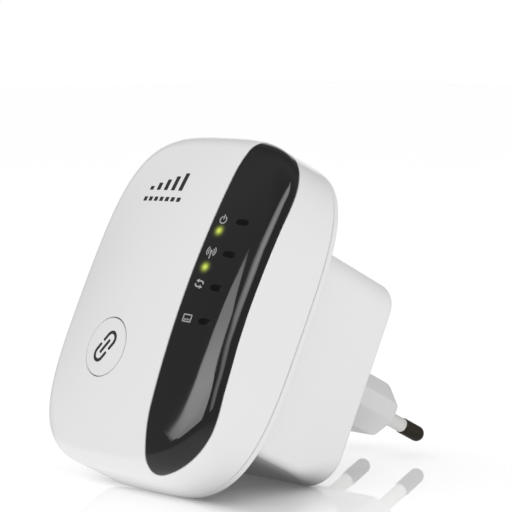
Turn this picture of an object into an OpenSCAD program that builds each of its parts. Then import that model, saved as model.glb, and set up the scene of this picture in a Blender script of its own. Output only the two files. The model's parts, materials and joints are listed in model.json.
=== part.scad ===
// Plug-in wifi range extender.
// Upright as it sits in a wall socket: front faces -Y, the plug points +Y
// into the wall, +Z is up, +X is the side with the black display window.
// The origin is midway between the two pins, on the face of the plug base.

/* [Case] */
// Width of the front shell
body_w = 63; // [61:0.5:66]
// Height of the front shell
body_h = 85; // [83:0.5:90]
// Squareness of the front outline, higher is squarer
outline_n = 3.5; // [3.2:0.1:4.2]
// Depth of the front shell from the seam to its front edge
shell_d = 17.3; // [16.8:0.1:19]
// Crown of the front face over its edge
crown_h = 4; // [3.5:0.1:4.5]
// Radius of the edge between front face and side wall
edge_r = 5; // [4.6:0.1:5.6]
// Draft of the side wall over its depth
side_draft = 0.3; // [0.1:0.1:0.6]
// Wall of the front shell
wall_t = 2.4; // [2.2:0.1:2.6]

/* [Rear cover] */
// Thickness of the rim plate behind the seam
rim_t = 2; // [1.8:0.1:2.4]
// Width of the rear block
block_w = 54; // [53:0.5:56]
// Height of the rear block
block_h = 53; // [52:0.5:54]
// Depth of the rear block behind the rim
block_d = 28.8; // [28.8:0.1:32]
// Corner radius of the rear block
block_r = 7; // [5:0.5:8]
// Wall of the rear block
block_t = 2; // [1.8:0.1:2.1]

/* [Plug] */
// Diameter of a plug pin
pin_d = 4; // [3.94:0.01:4.06]
// Distance between the two pins
pin_pitch = 19; // [18:0.1:19.5]
// Length of a pin beyond the plug base
pin_l = 19; // [18.5:0.1:19.5]
// Length of the insulating sleeve beyond the plug base
sleeve_l = 11; // [10:0.5:11]
// Diameter of the insulating sleeve
sleeve_d = 3.6; // [3.4:0.05:3.65]
// Width of the plug base
base_w = 35.3; // [34.6:0.1:36]
// Height of the plug base
base_h = 13.7; // [13.2:0.1:14.2]
// Corner cut of the plug base
base_cut = 4.6; // [4:0.1:5]
// Length of the plug base behind the rear block
base_l = 22.5; // [18:0.5:25]

/* [Display window] */
// Half width of the window, measured square to the 45 degree corner
win_hw = 8.4; // [8:0.1:8.6]
// Half height of the window
win_hh = 40.1; // [38:0.1:40.1]
// Depth of the recess that holds the window
win_d = 1.2; // [1:0.1:1.2]
// Gap around the window
win_gap = 0.12; // [0.08:0.02:0.2]

/* [Buttons] */
// Radius of the pair button
btn_r = 7.1; // [6:0.1:7.3]
// Gap around the pair button
btn_gap = 0.25; // [0.2:0.05:0.4]
// Pair button, distance left of the centre line
btn_x = 9; // [8:0.5:9.5]
// Pair button, distance below the shell centre
btn_z = 14.8; // [14:0.1:15.5]
// Radius of the reset pinhole
reset_r = 0.8; // [0.6:0.1:1]

/* [Hidden] */
$fn = 48;

// Case. All places below are in the seam frame.
half_w = body_w / 2;
half_h = body_h / 2;
outline_steps = 56;                        // points round an outline
block_inner = rim_t + block_d - block_t;   // inner face of the block's back wall
block_end = rim_t + block_d;               // outer back face of the block
face_y = block_end + base_l;               // plug base face
seam_y = -face_y;                          // seam plane against the origin
shell_z = 1.7;                             // shell centre above the pins
block_z = -2.9;                            // block centre
plug_z = -shell_z;                         // pin centre
edge_in = side_draft + edge_r;             // edge arc centre, in from the outline
arc_end = 90 - atan(2 * crown_h / (half_w - edge_in));   // edge arc meets the crown
arc_y = shell_d - edge_r * sin(arc_end);   // edge arc centre, in front of the seam
under_z = [-34, -26.5];                    // z range of cuts through the underside

// Centres as [x, z]
case_pts = [[-19, 33.5], [19, 33.5], [-17.5, -36], [17.5, -36]];
board_pts = [[-21.5, 6], [22.6, -19]];
lamp_pts = [for (z = [16.1, 7]) [15.1, z]];
lens_pts = [for (z = [19, 10.7, 2.4, -5.9]) [20.5, z]];
lead_pts = [[-17.8, 16], [-15.2, 16]];
pin_pts = [for (side = [-1, 1]) [side * pin_pitch / 2, plug_z]];
btn_at = [-btn_x, -btn_z];

// Pair button and light guide
btn_rear = -16.1;
btn_bore_r = 5.6;
lamp_r = 1;
lens_w = 3.8;
lens_h = 1.8;

// Plug pins
core_r = 1.4;                              // pin inside its sleeve
sleeve_in = 2.9;                           // sleeve length inside the plug base
sleeve_end = face_y + sleeve_l;

// Boards
seat_gap = 0.02;                           // gap between a part and its board
board_rear = -0.4;
board_front = board_rear - 1.6;
front_seat = board_front - seat_gap;
rear_seat = board_rear + seat_gap;
mains_t = 1.6;
mains_front = 24.6;
mains_seat = mains_front - seat_gap;
jack_x = 9;
jack_z = -27.2;                            // mouth end of the socket
reset_x = -8;
reset_y = 4.4;
antenna_x = 27.95;                         // middle of an antenna plate

// Seam frame: seam plane at y = 0, shell centre at x = z = 0
module seam_frame() translate([0, seam_y, shell_z]) children();

// Extrude an XZ outline from y0 to y1
module extrude_y(y0, y1)
  translate([0, y1, 0]) rotate([90, 0, 0]) linear_extrude(y1 - y0) children();

// Cylinder along Y, centred on [x, z]
module cylinder_y(at, y0, y1, r)
  translate([at[0], y0, at[1]]) rotate([-90, 0, 0]) cylinder(h = y1 - y0, r = r);

module cylinders_y(points, y0, y1, r) for (p = points) cylinder_y(p, y0, y1, r);

// Box from its low and high corners
module box(low, high) translate(low) cube(high - low);

// Box on the front of the main board, corners as [x, z]
module front_part(low, high, y)
  box([low[0], y, low[1]], [high[0], front_seat, high[1]]);

// Two crossed bars in the XZ plane, centred on [x, z]
module cross_y(at, y0, y1, half_length, half_width)
  for (a = [0, 90]) translate([at[0], 0, at[1]]) rotate([0, a, 0])
    box([-half_length, y0, -half_width], [half_length, y1, half_width]);

// Round rod between two points
module rod(start, end, r) {
  run = end - start;
  length = norm(run);
  translate(start) rotate([0, acos(run[2] / length), atan2(run[1], run[0])])
    cylinder(h = length, r = r, $fn = 24);
}

module rounded_rect(w, h, r) {
  square([w - 2 * r, h], center = true);
  square([w, h - 2 * r], center = true);
  for (sx = [-1, 1], sz = [-1, 1]) translate([sx * (w / 2 - r), sz * (h / 2 - r)]) circle(r);
}

// Light guide bars, widened all over by grow
module lens_bars(y0, y1, grow = 0) {
  w = lens_w + grow;
  h = lens_h + grow;
  for (p = lens_pts) translate([p[0], 0, p[1]]) extrude_y(y0, y1) {
    square([w - h, h], center = true);
    for (s = [-1, 1]) translate([s * (w - h) / 2, 0]) circle(h / 2);
  }
}

// Superellipse point at an angle, half sizes a and b, squareness n
function superellipse(angle, a, b, n = outline_n) =
  let (c = cos(angle), s = sin(angle), k = pow(pow(abs(c), n) + pow(abs(s), n), -1 / n))
  [a * c * k, b * s * k];
function step_angle(i) = i * 360 / outline_steps;

// Front outline, moved in by inset
function outline(inset) = [for (i = [0:outline_steps - 1])
  superellipse(step_angle(i), half_w - inset, half_h - inset)];

// Rings of the pillow form from the seam to the crown, as
// [half width, half height, y], moved in from the outer skin
function inset_ring(inset, y) = [half_w - inset, half_h - inset, y];
function rings(inset, seam) =
  let (r = edge_r - inset,
       crown_in = edge_in - r * cos(arc_end),
       crown_y = -arc_y - r * sin(arc_end),
       rise = crown_h + shell_d - inset + crown_y)
  concat(
    [inset_ring(inset, seam), inset_ring(inset + side_draft / 2, -arc_y / 2)],
    [for (i = [0:5]) let (a = arc_end * i / 5)
      inset_ring(edge_in - r * cos(a), -arc_y - r * sin(a))],
    [for (s = [0.86, 0.68, 0.48, 0.28, 0.1])
      [(half_w - crown_in) * s, (half_h - crown_in) * s, crown_y - rise * (1 - s * s)]]);

function ring_points(stack) = [for (ring = stack) for (i = [0:outline_steps - 1])
  let (p = superellipse(step_angle(i), ring[0], ring[1])) [p[0], ring[2], p[1]]];

// Faces of a stack of rings, capped at both ends
function stack_faces(count) = let (m = outline_steps) concat(
  [[for (i = [0:m - 1]) i]],
  [for (j = [0:count - 2]) for (i = [0:m - 1])
    let (a = j * m + i, b = j * m + (i + 1) % m)
    each [[a, a + m, b], [b, a + m, b + m]]],
  [[for (i = [0:m - 1]) count * m - 1 - i]]);
function reversed(list) = [for (i = [len(list) - 1:-1:0]) list[i]];

// Solid pillow, moved in by inset
module pillow(inset, seam = 0) {
  stack = rings(inset, seam);
  polyhedron(points = ring_points(stack), faces = stack_faces(len(stack)), convexity = 4);
}

// Hollow pillow, open at the seam
module pillow_shell(wall) {
  stack = concat(reversed(rings(0, 0)), rings(wall, 0));
  polyhedron(points = ring_points(stack),
    faces = [for (f = stack_faces(len(stack))) reversed(f)], convexity = 6);
}

// Window outline run out square to the corner between front and right side,
// squarer on its right half than on its left
module window_prism(gap) {
  start = 17;
  shift = 2.4;
  translate([start * sin(45), -start * cos(45), 0]) rotate([90, 0, 45]) linear_extrude(24)
    polygon([for (i = [0:outline_steps - 1]) let (a = step_angle(i)) [shift, 0]
      + superellipse(a, win_hw - gap, win_hh - gap, cos(a) >= 0 ? 4.5 : 2.6)]);
}

module front_cover() color("white") seam_frame() difference() {
  union() {
    pillow_shell(wall_t);
    for (p = case_pts) cylinder_y(p, p[1] > 0 ? -16 : -15.4, -0.05, 2.8);
    cylinders_y(board_pts, -17, board_front, 2.3);
  }
  difference() {
    window_prism(0);
    pillow(win_d);
  }
  cylinder_y(btn_at, -26, -15, btn_r + btn_gap);
  // screw holes
  cylinders_y(case_pts, -11, 1, 1.15);
  cylinders_y(board_pts, -8, 1, 0.85);
  // openings for the light guide
  cylinders_y(lamp_pts, -22, -14, lamp_r + 0.2);
  lens_bars(-22, -14, 0.4);
}

module display_window() color([0.06, 0.06, 0.065]) seam_frame() difference() {
  intersection() {
    pillow(0);
    window_prism(win_gap);
  }
  pillow(win_d - 0.1, 1);
}

// Hollow cap with a flange behind the shell, a cross and a stem to the switch
module pair_button() color("whitesmoke") seam_frame() {
  difference() {
    intersection() {
      pillow(0);
      cylinder_y(btn_at, -25, btn_rear, btn_r);
    }
    cylinder_y(btn_at, -17.5, -15, btn_bore_r);
  }
  difference() {
    cylinder_y(btn_at, -17.05, btn_rear, 8.2);
    cylinder_y(btn_at, -18, -15, btn_bore_r);
  }
  cross_y(btn_at, -17.7, btn_rear, 5.9, 0.6);
  cylinder_y(btn_at, -17.9, -6.35, 1.6);
}

module light_guide() color([0.85, 0.9, 0.85, 0.6]) seam_frame() {
  box([13.4, -4.8, -7.6], [22.8, -3.4, 20.6]);
  cylinders_y(lamp_pts, -18.5, -4, lamp_r);
  lens_bars(-17.1, -4);
}

// Row of six slots through the rear block, from first_x
module cooling_slots(first_x, z0, z1) {
  pitch = 3;
  slot_w = 1.4;
  for (i = [0:5]) let (x = first_x + i * pitch) box([x, 9, z0], [x + slot_w, 24, z1]);
}

// Socket opening with its latch way towards the board
module socket_opening(gap, z0, body_z1, latch_z1) {
  body = 5.9 + gap;
  latch = 3 + gap;
  box([jack_x - body, 5.2 - gap, z0], [jack_x + body, 12 + gap, body_z1]);
  box([jack_x - latch, 3.1 - gap, z0], [jack_x + latch, 6, latch_z1]);
}

module rear_cover() color("white") seam_frame() difference() {
  bevel = 1.2;
  union() {
    extrude_y(0, rim_t) polygon(outline(0.2));
    translate([0, 0, block_z]) {
      extrude_y(0, block_end - bevel) rounded_rect(block_w, block_h, block_r);
      hull() {
        extrude_y(block_end - bevel - 0.01, block_end - bevel)
          rounded_rect(block_w, block_h, block_r, $fn = 32);
        extrude_y(block_end - 0.01, block_end)
          rounded_rect(block_w - 2 * bevel, block_h - 2 * bevel, block_r - bevel, $fn = 32);
      }
    }
    // lip inside the front shell
    difference() {
      extrude_y(-2.4, 0.5) polygon(outline(wall_t + 0.2));
      extrude_y(-3, 1) polygon(outline(wall_t + 1.3));
      cylinders_y(case_pts, -3, 0, 3.2);
    }
  }
  translate([0, 0, block_z]) extrude_y(-4, block_inner)
    rounded_rect(block_w - 2 * block_t, block_h - 2 * block_t, block_r - block_t);
  // screw holes and head recesses
  cylinders_y(case_pts, -1, 5, 1.3);
  cylinders_y(case_pts, 0.9, 5, 2.5);
  // way in for the plug base
  translate([0, 0, plug_z]) extrude_y(block_inner - 1, block_end + 1) base_outline(0.1);
  // network socket mouth and reset pinhole in the underside
  socket_opening(0.2, under_z[0], under_z[1], under_z[1]);
  translate([reset_x, reset_y, under_z[0]]) cylinder(h = 8, r = reset_r);
  // cooling slots, underside and top
  cooling_slots(-21, under_z[0], under_z[1]);
  cooling_slots(-8.2, 20, 25);
}

// Rectangle with cut corners, grown by grow
module base_outline(grow) {
  a = base_w / 2 + grow;
  b = base_h / 2 + grow;
  c = base_cut + 0.4 * grow;
  polygon([[a, b - c], [a - c, b], [c - a, b], [-a, b - c],
    [-a, c - b], [c - a, -b], [a - c, -b], [a, c - b]]);
}

module plug_base() color([0.8, 0.8, 0.8]) seam_frame() difference() {
  bevel_l = 2.4;
  translate([0, 0, plug_z]) union() {
    extrude_y(block_inner, face_y - bevel_l) base_outline(0);
    hull() {
      extrude_y(face_y - bevel_l - 0.01, face_y - bevel_l) base_outline(0);
      extrude_y(face_y - 0.01, face_y) base_outline(-1.4);
    }
    // flange inside the block, and its neck
    extrude_y(block_inner - 1.3, block_inner - 0.05) base_outline(2);
    extrude_y(block_inner - 0.1, block_inner) base_outline(0);
  }
  cylinders_y(pin_pts, 20, face_y + 1, core_r + 0.05);
  cylinders_y(pin_pts, face_y - sleeve_in - 0.1, face_y + 1, sleeve_d / 2 + 0.03);
}

// Pin turned about its own axis: thin tail, core, and full-diameter rounded tip.
// Profile as [radius, y].
module pin(at) {
  tail_r = 0.75;
  pin_r = pin_d / 2;
  tip_y = face_y + pin_l - pin_r;
  step_y = sleeve_end + 0.02;
  seam_frame() translate([at[0], 0, at[1]]) rotate([-90, 0, 0]) rotate_extrude()
    polygon(concat(
      [[0, 23.4], [tail_r, 23.4], [tail_r, 28], [core_r, 28.6],
       [core_r, step_y], [pin_r, step_y], [pin_r, tip_y]],
      [for (i = [1:6]) [pin_r * cos(i * 15), tip_y + pin_r * sin(i * 15)]]));
}
module plug_pin_left() color([0.62, 0.58, 0.5]) pin(pin_pts[0]);
module plug_pin_right() color([0.62, 0.58, 0.5]) pin(pin_pts[1]);

module sleeve(at) seam_frame() difference() {
  cylinder_y(at, face_y - sleeve_in, sleeve_end, sleeve_d / 2);
  cylinder_y(at, face_y - 4, sleeve_end + 1, core_r + 0.03);
}
module pin_sleeve_left() color([0.86, 0.86, 0.84]) sleeve(pin_pts[0]);
module pin_sleeve_right() color([0.86, 0.86, 0.84]) sleeve(pin_pts[1]);

// Cross-head screws along Y, from tip to the top of the head
module screws(points, tip, top, r, head_r, head_t) seam_frame()
  for (p = points) difference() {
    union() {
      cylinder_y(p, tip, top - head_t, r);
      cylinder_y(p, top - head_t, top, head_r);
    }
    cross_y(p, top - 0.5, top + 0.5, head_r * 0.6, 0.25);
  }
module case_screws() color("silver")
  screws(case_pts, tip = -9, top = 1.95, r = 1.1, head_r = 2.3, head_t = 1.0);
module board_screws() color("silver")
  screws(board_pts, tip = -6.5, top = 0.75, r = 0.8, head_r = 1.7, head_t = 1.1);

module rating_label() color([0.78, 0.78, 0.78]) seam_frame() translate([0, 0, 14.4])
  extrude_y(block_end + 0.01, block_end + 0.12) rounded_rect(38, 10.5, 1);

// Main board, front side
module main_board() color([0.1, 0.35, 0.2]) seam_frame() difference() {
  extrude_y(board_front, board_rear) polygon(outline(4.7));
  cylinders_y(case_pts, -5, 3, 3.3);
  cylinders_y(board_pts, -5, 3, 1.0);
  cylinders_y(lead_pts, -5, 3, 0.75);
}

module wifi_chip() color([0.12, 0.12, 0.13]) seam_frame() front_part([-3, 12], [8, 23], -3.0);
module rf_shield() color([0.75, 0.76, 0.78]) seam_frame() difference() {
  front_part([-6.5, 8.5], [11, 30], -4.6);
  box([-6.2, -4.3, 8.8], [10.7, 0, 29.7]);
}
module memory_chip() color([0.12, 0.12, 0.13]) seam_frame()
  front_part([-3.5, -6], [7.5, 4], -3.1);
module flash_chip() color([0.12, 0.12, 0.13]) seam_frame()
  front_part([-13.8, 13], [-8.6, 18.2], -3.9);
module crystal() color([0.8, 0.8, 0.8]) seam_frame()
  front_part([-13.5, 24], [-9.5, 27.2], -3.0);

// Upright plate with four slots; side is -1 for left, 1 for right
module antenna(side) seam_frame() translate([side * antenna_x, 0, 0]) difference() {
  box([-0.35, -11.6, -14], [0.35, -5, 16]);
  for (i = [0:3]) box([-1, -10.2, -10 + i * 6], [1, -6.6, -8.2 + i * 6]);
}
module antenna_left() color([0.72, 0.55, 0.2]) antenna(-1);
module antenna_right() color([0.72, 0.55, 0.2]) antenna(1);
module antenna_leads() color([0.2, 0.2, 0.2]) seam_frame() for (side = [-1, 1]) {
  rod([side * 27.2, -8, -12.6], [side * 18, -3.2, -12.6], 0.55);
  front_part([side * 17 - 1.2, -13.8], [side * 17 + 1.2, -11.4], -3.4);
}

module status_leds() color([0.75, 0.95, 0.35]) seam_frame()
  for (p = concat(lamp_pts, lens_pts)) front_part(p - [0.8, 0.5], p + [0.8, 0.5], -2.8);

module pair_switch_body() color([0.15, 0.15, 0.15]) seam_frame() difference() {
  front_part(btn_at - [3, 3], btn_at + [3, 3], -5.5);
  cylinder_y(btn_at, -6, -4.2, 1.85);
}
module pair_switch_plunger() color("tan") seam_frame() cylinder_y(btn_at, -6.3, -4.8, 1.75);

module chip_parts() color([0.65, 0.6, 0.5]) seam_frame() {
  // [first x, z, pitch, count, width]
  rows = [[-18, 6, 2.4, 5, 1.4], [10, -12, -2.2, 4, 1.2], [-4, -22, 2.4, 3, 1.4]];
  for (row = rows) for (i = [0:row[3] - 1]) let (x = row[0] + i * row[2])
    front_part([x, row[1]], [x + row[4], row[1] + 0.8], -2.6);
}

// Main board, rear side
module reset_switch_body() color([0.15, 0.15, 0.15]) seam_frame() difference() {
  box([reset_x - 3, rear_seat, -25.6], [reset_x + 3, 7.2, -22]);
  translate([reset_x, reset_y, -26]) cylinder(h = 1.8, r = 1.6);
}
module reset_switch_plunger() color("tan") seam_frame()
  translate([reset_x, reset_y, -26.6]) cylinder(h = 1.8, r = 1.5);

module network_socket() color([0.12, 0.12, 0.12]) seam_frame() difference() {
  box([jack_x - 8, rear_seat, jack_z], [jack_x + 8, 13.05, jack_z + 21]);
  socket_opening(0, jack_z - 1, jack_z + 16, jack_z + 14);
}
module socket_contacts() color([0.85, 0.68, 0.25]) seam_frame()
  for (i = [0:7]) let (x = jack_x + (i - 3.5) * 1.02)
    rod([x, 11.3, jack_z + 15.6], [x, 8.6, jack_z + 8.6], 0.23);

module lan_transformer() color([0.13, 0.13, 0.13]) seam_frame()
  box([-12, rear_seat, -17], [-1, 5.2, -9.6]);
module buck_inductor() color([0.3, 0.3, 0.32]) seam_frame() difference() {
  cylinder_y([-14, 2], rear_seat, 4, 3.4);
  cylinder_y([-14, 2], 3, 5, 1.6);
}
// Round cans on square feet
module board_capacitors() color([0.2, 0.2, 0.22]) seam_frame()
  for (p = [[-6, 2], [-6, 10], [4, 12]]) {
    cylinder_y(p, 0.4, 7.2, 3);
    box([p[0] - 3.2, rear_seat, p[1] - 3.2], [p[0] + 3.2, 0.4, p[1] + 3.2]);
  }

// Mains board, with its parts on the front
module mains_board() color([0.75, 0.62, 0.35]) seam_frame() difference() {
  translate([0, 0, block_z]) extrude_y(mains_front, mains_front + mains_t)
    rounded_rect(46, 45, 3);
  cylinders_y(pin_pts, mains_front - 1, mains_front + 3, 0.85);
  cylinders_y(lead_pts, mains_front - 1, mains_front + 3, 0.75);
}

// Transformer: ferrite core with a window, bobbin and winding through it
core_window = [[3, 14.2, 7], [21, mains_front - 3.2, 15]];
bobbin_bore = [[4.4, 13.5, 8.2], [19.6, mains_front - 2.5, 13.8]];
bobbin_gap = [0.2, 0.05, 0.05];
winding_gap = [0.2, 0.9, 0.2];
module transformer_core() color([0.22, 0.22, 0.23]) seam_frame() difference() {
  box([4, 12, 4], [20, mains_front - 1, 18]);
  box(core_window[0], core_window[1]);
}
module transformer_bobbin() color([0.1, 0.1, 0.1]) seam_frame() difference() {
  box(core_window[0] + bobbin_gap, core_window[1] - bobbin_gap);
  box(bobbin_bore[0], bobbin_bore[1]);
}
module transformer_winding() color([0.85, 0.75, 0.2]) seam_frame()
  box(bobbin_bore[0] + winding_gap, bobbin_bore[1] - winding_gap);

module bulk_capacitors() color([0.15, 0.18, 0.3]) seam_frame()
  for (x = [-19, -10.4]) translate([x, 18.6, 0]) {
    translate([0, 0, -21.5]) cylinder(h = 12, r = 4);
    translate([0, 0, -9.5]) cylinder(h = 0.6, r = 3.6);
  }
module output_capacitor() color([0.15, 0.18, 0.3]) seam_frame()
  cylinder_y([-4, 14], 12.5, mains_seat, 4);
module bridge_rectifier() color([0.12, 0.12, 0.12]) seam_frame()
  box([-22, 20.6, -5], [-17, mains_seat, 0]);
module fusible_resistor() color([0.35, 0.6, 0.45]) seam_frame()
  rod([-14, 22, -6.2], [-14, 22, 4], 1.6);
module mains_choke() color([0.3, 0.3, 0.32]) seam_frame()
  cylinder_y([-20, 8], 17, mains_seat, 2.6);
module safety_capacitor() color([0.15, 0.4, 0.75]) seam_frame()
  translate([2, 18.5, -4.6]) rotate([0, 90, 0]) cylinder(h = 3, r = 3.6);
module optocoupler() color([0.12, 0.12, 0.12]) seam_frame()
  box([-4, 21.2, -0.6], [0.6, mains_seat, 5.8]);
module mains_controller() color([0.12, 0.12, 0.12]) seam_frame()
  box([12.5, 22.9, -6], [17.5, mains_seat, 0]);
// Leads through both boards, 0.5 proud of each
module power_leads() color("firebrick") seam_frame()
  cylinders_y(lead_pts, board_front - 0.5, mains_front + mains_t + 0.5, 0.65);

front_cover();
display_window();
pair_button();
light_guide();
rear_cover();
plug_base();
plug_pin_left();
plug_pin_right();
pin_sleeve_left();
pin_sleeve_right();
case_screws();
rating_label();
main_board();
board_screws();
wifi_chip();
memory_chip();
flash_chip();
crystal();
rf_shield();
antenna_left();
antenna_right();
antenna_leads();
status_leds();
pair_switch_body();
pair_switch_plunger();
reset_switch_body();
reset_switch_plunger();
network_socket();
socket_contacts();
lan_transformer();
buck_inductor();
board_capacitors();
chip_parts();
mains_board();
transformer_core();
transformer_winding();
transformer_bobbin();
bulk_capacitors();
output_capacitor();
bridge_rectifier();
fusible_resistor();
mains_choke();
safety_capacitor();
optocoupler();
mains_controller();
power_leads();
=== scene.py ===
"""A plug-in extender: a pillow-shaped gloss cover with a black window strip and a round
button in front, and a rear cover whose block carries a two-pin plug.

It is modelled in a shell frame: millimetres, seam plane at y = 0, shell centre at
x = z = 0, front towards -Y, plug towards +Y, up +Z. The floor and the camera are tilted
about X to suit, so the extender seems to lie back on its lower rear edges.
"""
import bpy
import bmesh
import json
import math
import numpy as np
from mathutils import Vector, Matrix


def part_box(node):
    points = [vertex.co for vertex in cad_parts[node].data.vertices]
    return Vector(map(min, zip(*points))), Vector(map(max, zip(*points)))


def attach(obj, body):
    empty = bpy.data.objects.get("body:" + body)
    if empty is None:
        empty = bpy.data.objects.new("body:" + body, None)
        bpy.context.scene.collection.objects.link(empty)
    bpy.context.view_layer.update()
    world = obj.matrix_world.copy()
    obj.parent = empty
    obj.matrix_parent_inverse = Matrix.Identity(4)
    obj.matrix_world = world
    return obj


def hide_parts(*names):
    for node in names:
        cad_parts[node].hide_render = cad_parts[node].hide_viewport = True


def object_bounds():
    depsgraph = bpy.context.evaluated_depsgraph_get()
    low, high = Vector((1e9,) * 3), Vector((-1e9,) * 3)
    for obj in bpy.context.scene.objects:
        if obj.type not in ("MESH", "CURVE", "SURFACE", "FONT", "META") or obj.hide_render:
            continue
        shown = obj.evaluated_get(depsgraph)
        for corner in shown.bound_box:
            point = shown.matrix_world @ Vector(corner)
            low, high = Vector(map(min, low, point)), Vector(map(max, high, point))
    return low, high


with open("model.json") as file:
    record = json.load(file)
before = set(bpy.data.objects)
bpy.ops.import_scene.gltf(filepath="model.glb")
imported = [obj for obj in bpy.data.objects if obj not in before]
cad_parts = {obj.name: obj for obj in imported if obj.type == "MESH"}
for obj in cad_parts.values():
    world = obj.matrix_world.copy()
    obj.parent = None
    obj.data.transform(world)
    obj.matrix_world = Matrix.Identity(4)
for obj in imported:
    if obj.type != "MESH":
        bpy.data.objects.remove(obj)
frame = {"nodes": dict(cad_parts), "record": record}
cad_lo, cad_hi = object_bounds()

# ---------------------------------------------------------------- sizes, from the CAD boxes
cover_lo, cover_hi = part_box("front_cover")
HALF_W = (cover_hi.x - cover_lo.x) * 500
HALF_H = (cover_hi.z - cover_lo.z) * 500
SEAM_Y = cover_hi.y * 1000
MID_Z = (cover_hi.z + cover_lo.z) * 500
APEX = (cover_hi.y - cover_lo.y) * 1000 + 0.04  # from the seam to the crown's top

button_lo, button_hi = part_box("pair_button")
BUTTON_X = (button_lo.x + button_hi.x) * 500
BUTTON_Z = (button_lo.z + button_hi.z) * 500 - MID_Z
BUTTON_R = 7.1

plug_lo, plug_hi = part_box("plug_base")
PLUG_Z = (plug_lo.z + plug_hi.z) * 500 - MID_Z
PLUG_FACE = plug_hi.y * 1000 - SEAM_Y
BLOCK_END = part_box("rating_label")[0].y * 1000 - SEAM_Y - 0.01
pin_lo, pin_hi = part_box("plug_pin_right")
PIN_X = (pin_lo.x + pin_hi.x) * 500
PIN_TIP = pin_hi.y * 1000 - SEAM_Y
PIN_R = 2.0
sleeve_lo, sleeve_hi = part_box("pin_sleeve_right")
SLEEVE_R = (sleeve_hi.x - sleeve_lo.x) * 500
SLEEVE_ROOT = sleeve_lo.y * 1000 - SEAM_Y
SLEEVE_END = sleeve_hi.y * 1000 - SEAM_Y
SLEEVE_BORE = 1.43

# Pillow: superellipse outline, drafted side, edge radius, then a shallow crown
OUTLINE_POWER = 3.5
EDGE_R, DRAFT, CROWN = 5.0, 0.3, 4.0
SEAM_R = 0.35
crown_slope = math.atan(2 * CROWN / (HALF_W - DRAFT - EDGE_R))
EDGE_INSET = DRAFT + EDGE_R - EDGE_R * math.cos(math.pi / 2 - crown_slope)
CROWN_W, CROWN_H = HALF_W - EDGE_INSET, HALF_H - EDGE_INSET
CROWN_CORNER = 0.763  # how far the crown's fall is held back in the corners
COLUMNS, SIDE_ROWS, ARC_ROWS, CROWN_ROWS = 400, 9, 15, 60

# Gap either side of the window line, and the rounding of each cut edge
WINDOW_GAP = 0.07
COVER_LIP, WINDOW_LIP, BUTTON_LIP = 0.28, 0.32, 0.28

# Centres in x and z of the lit lamps and the unlit lenses in the window
LAMPS = [(14.65, 16.5), (14.8, 7.3)]
LENSES = [(20.15, 19.35), (20.05, 11.2), (20.0, 2.85), (20.05, -5.4)]

# Centres in x and z of the screw bosses
CASE_SCREWS = [(-19, 33.5), (19, 33.5), (-17.5, -36), (17.5, -36)]
BOARD_SCREWS = [(-21.5, 6), (22.6, -19)]

# Rear cover: flat rim, then a block
RIM_T, RIM_INSET, RIM_R = 2.0, 0.2, 0.5
BLOCK_W, BLOCK_H, BLOCK_Z = 54.0, 53.0, -2.9
BLOCK_LOW_R = 2.2  # radius of the block's lower rear edge
BLOCK_LOW_Z = BLOCK_Z - BLOCK_H / 2 + 0.9

PLUG_HALF_W, PLUG_HALF_H, PLUG_CORNER = 35.3 / 2, 13.7 / 2, 4.6


# ---------------------------------------------------------------- small maths
def to_world(points):
    """Shell frame in millimetres to world metres."""
    return (np.asarray(points, float) + np.array([0, SEAM_Y, MID_Z])) / 1000.0


def unit(v):
    return v / np.maximum(np.linalg.norm(v, axis=-1, keepdims=True), 1e-12)


def smoothstep(start, end, x):
    t = np.clip((x - start) / (end - start), 0, 1)
    return t * t * (3 - 2 * t)


def smooth_knots(xs, ys, x):
    """Cubic through knots, with slopes that don't overshoot and level ends."""
    xs, ys = np.array(xs, float), np.array(ys, float)
    span = np.diff(xs)
    rise = np.diff(ys) / span
    slope = np.zeros(len(xs))
    same = rise[:-1] * rise[1:] > 0
    total = np.where(same, rise[:-1] + rise[1:], 1)
    slope[1:-1] = np.where(same, 2 * rise[:-1] * rise[1:] / total, 0)
    x = np.clip(x, xs[0], xs[-1])
    i = np.clip(np.searchsorted(xs, x, side="right") - 1, 0, len(span) - 1)
    t = (x - xs[i]) / span[i]
    return ((2 * t**3 - 3 * t**2 + 1) * ys[i]
            + (t**3 - 2 * t**2 + t) * span[i] * slope[i]
            + (3 * t**2 - 2 * t**3) * ys[i + 1]
            + (t**3 - t**2) * span[i] * slope[i + 1])


# ---------------------------------------------------------------- flat outlines and rings
def outline(angles, inset=0.0):
    """Points in x and z on the pillow's superellipse."""
    c, s = np.cos(angles), np.sin(angles)
    reach = (np.abs(c) ** OUTLINE_POWER + np.abs(s) ** OUTLINE_POWER) ** (-1.0 / OUTLINE_POWER)
    return np.stack([(HALF_W - inset) * c * reach, (HALF_H - inset) * s * reach], 1)


def circle(cx, cy, r, count=48):
    t = np.arange(count) * 2 * math.pi / count
    return np.stack([cx + r * np.cos(t), cy + r * np.sin(t)], 1)


def rounded_rect(w, h, r, seg=12):
    """Rounded rectangle about the origin, counter-clockwise."""
    points = []
    for sx, sy, start in ((1, 1, 0), (-1, 1, 90), (-1, -1, 180), (1, -1, 270)):
        for i in range(seg + 1):
            a = math.radians(start + 90.0 * i / seg)
            points.append((sx * (w / 2 - r) + r * math.cos(a), sy * (h / 2 - r) + r * math.sin(a)))
    return np.array(points)


def ring_y(flat, y, dz=0.0):
    """A flat x, z outline set at a given y (one value or one per point)."""
    return np.stack([flat[:, 0], np.full(len(flat), y), flat[:, 1] + dz], 1)


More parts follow.
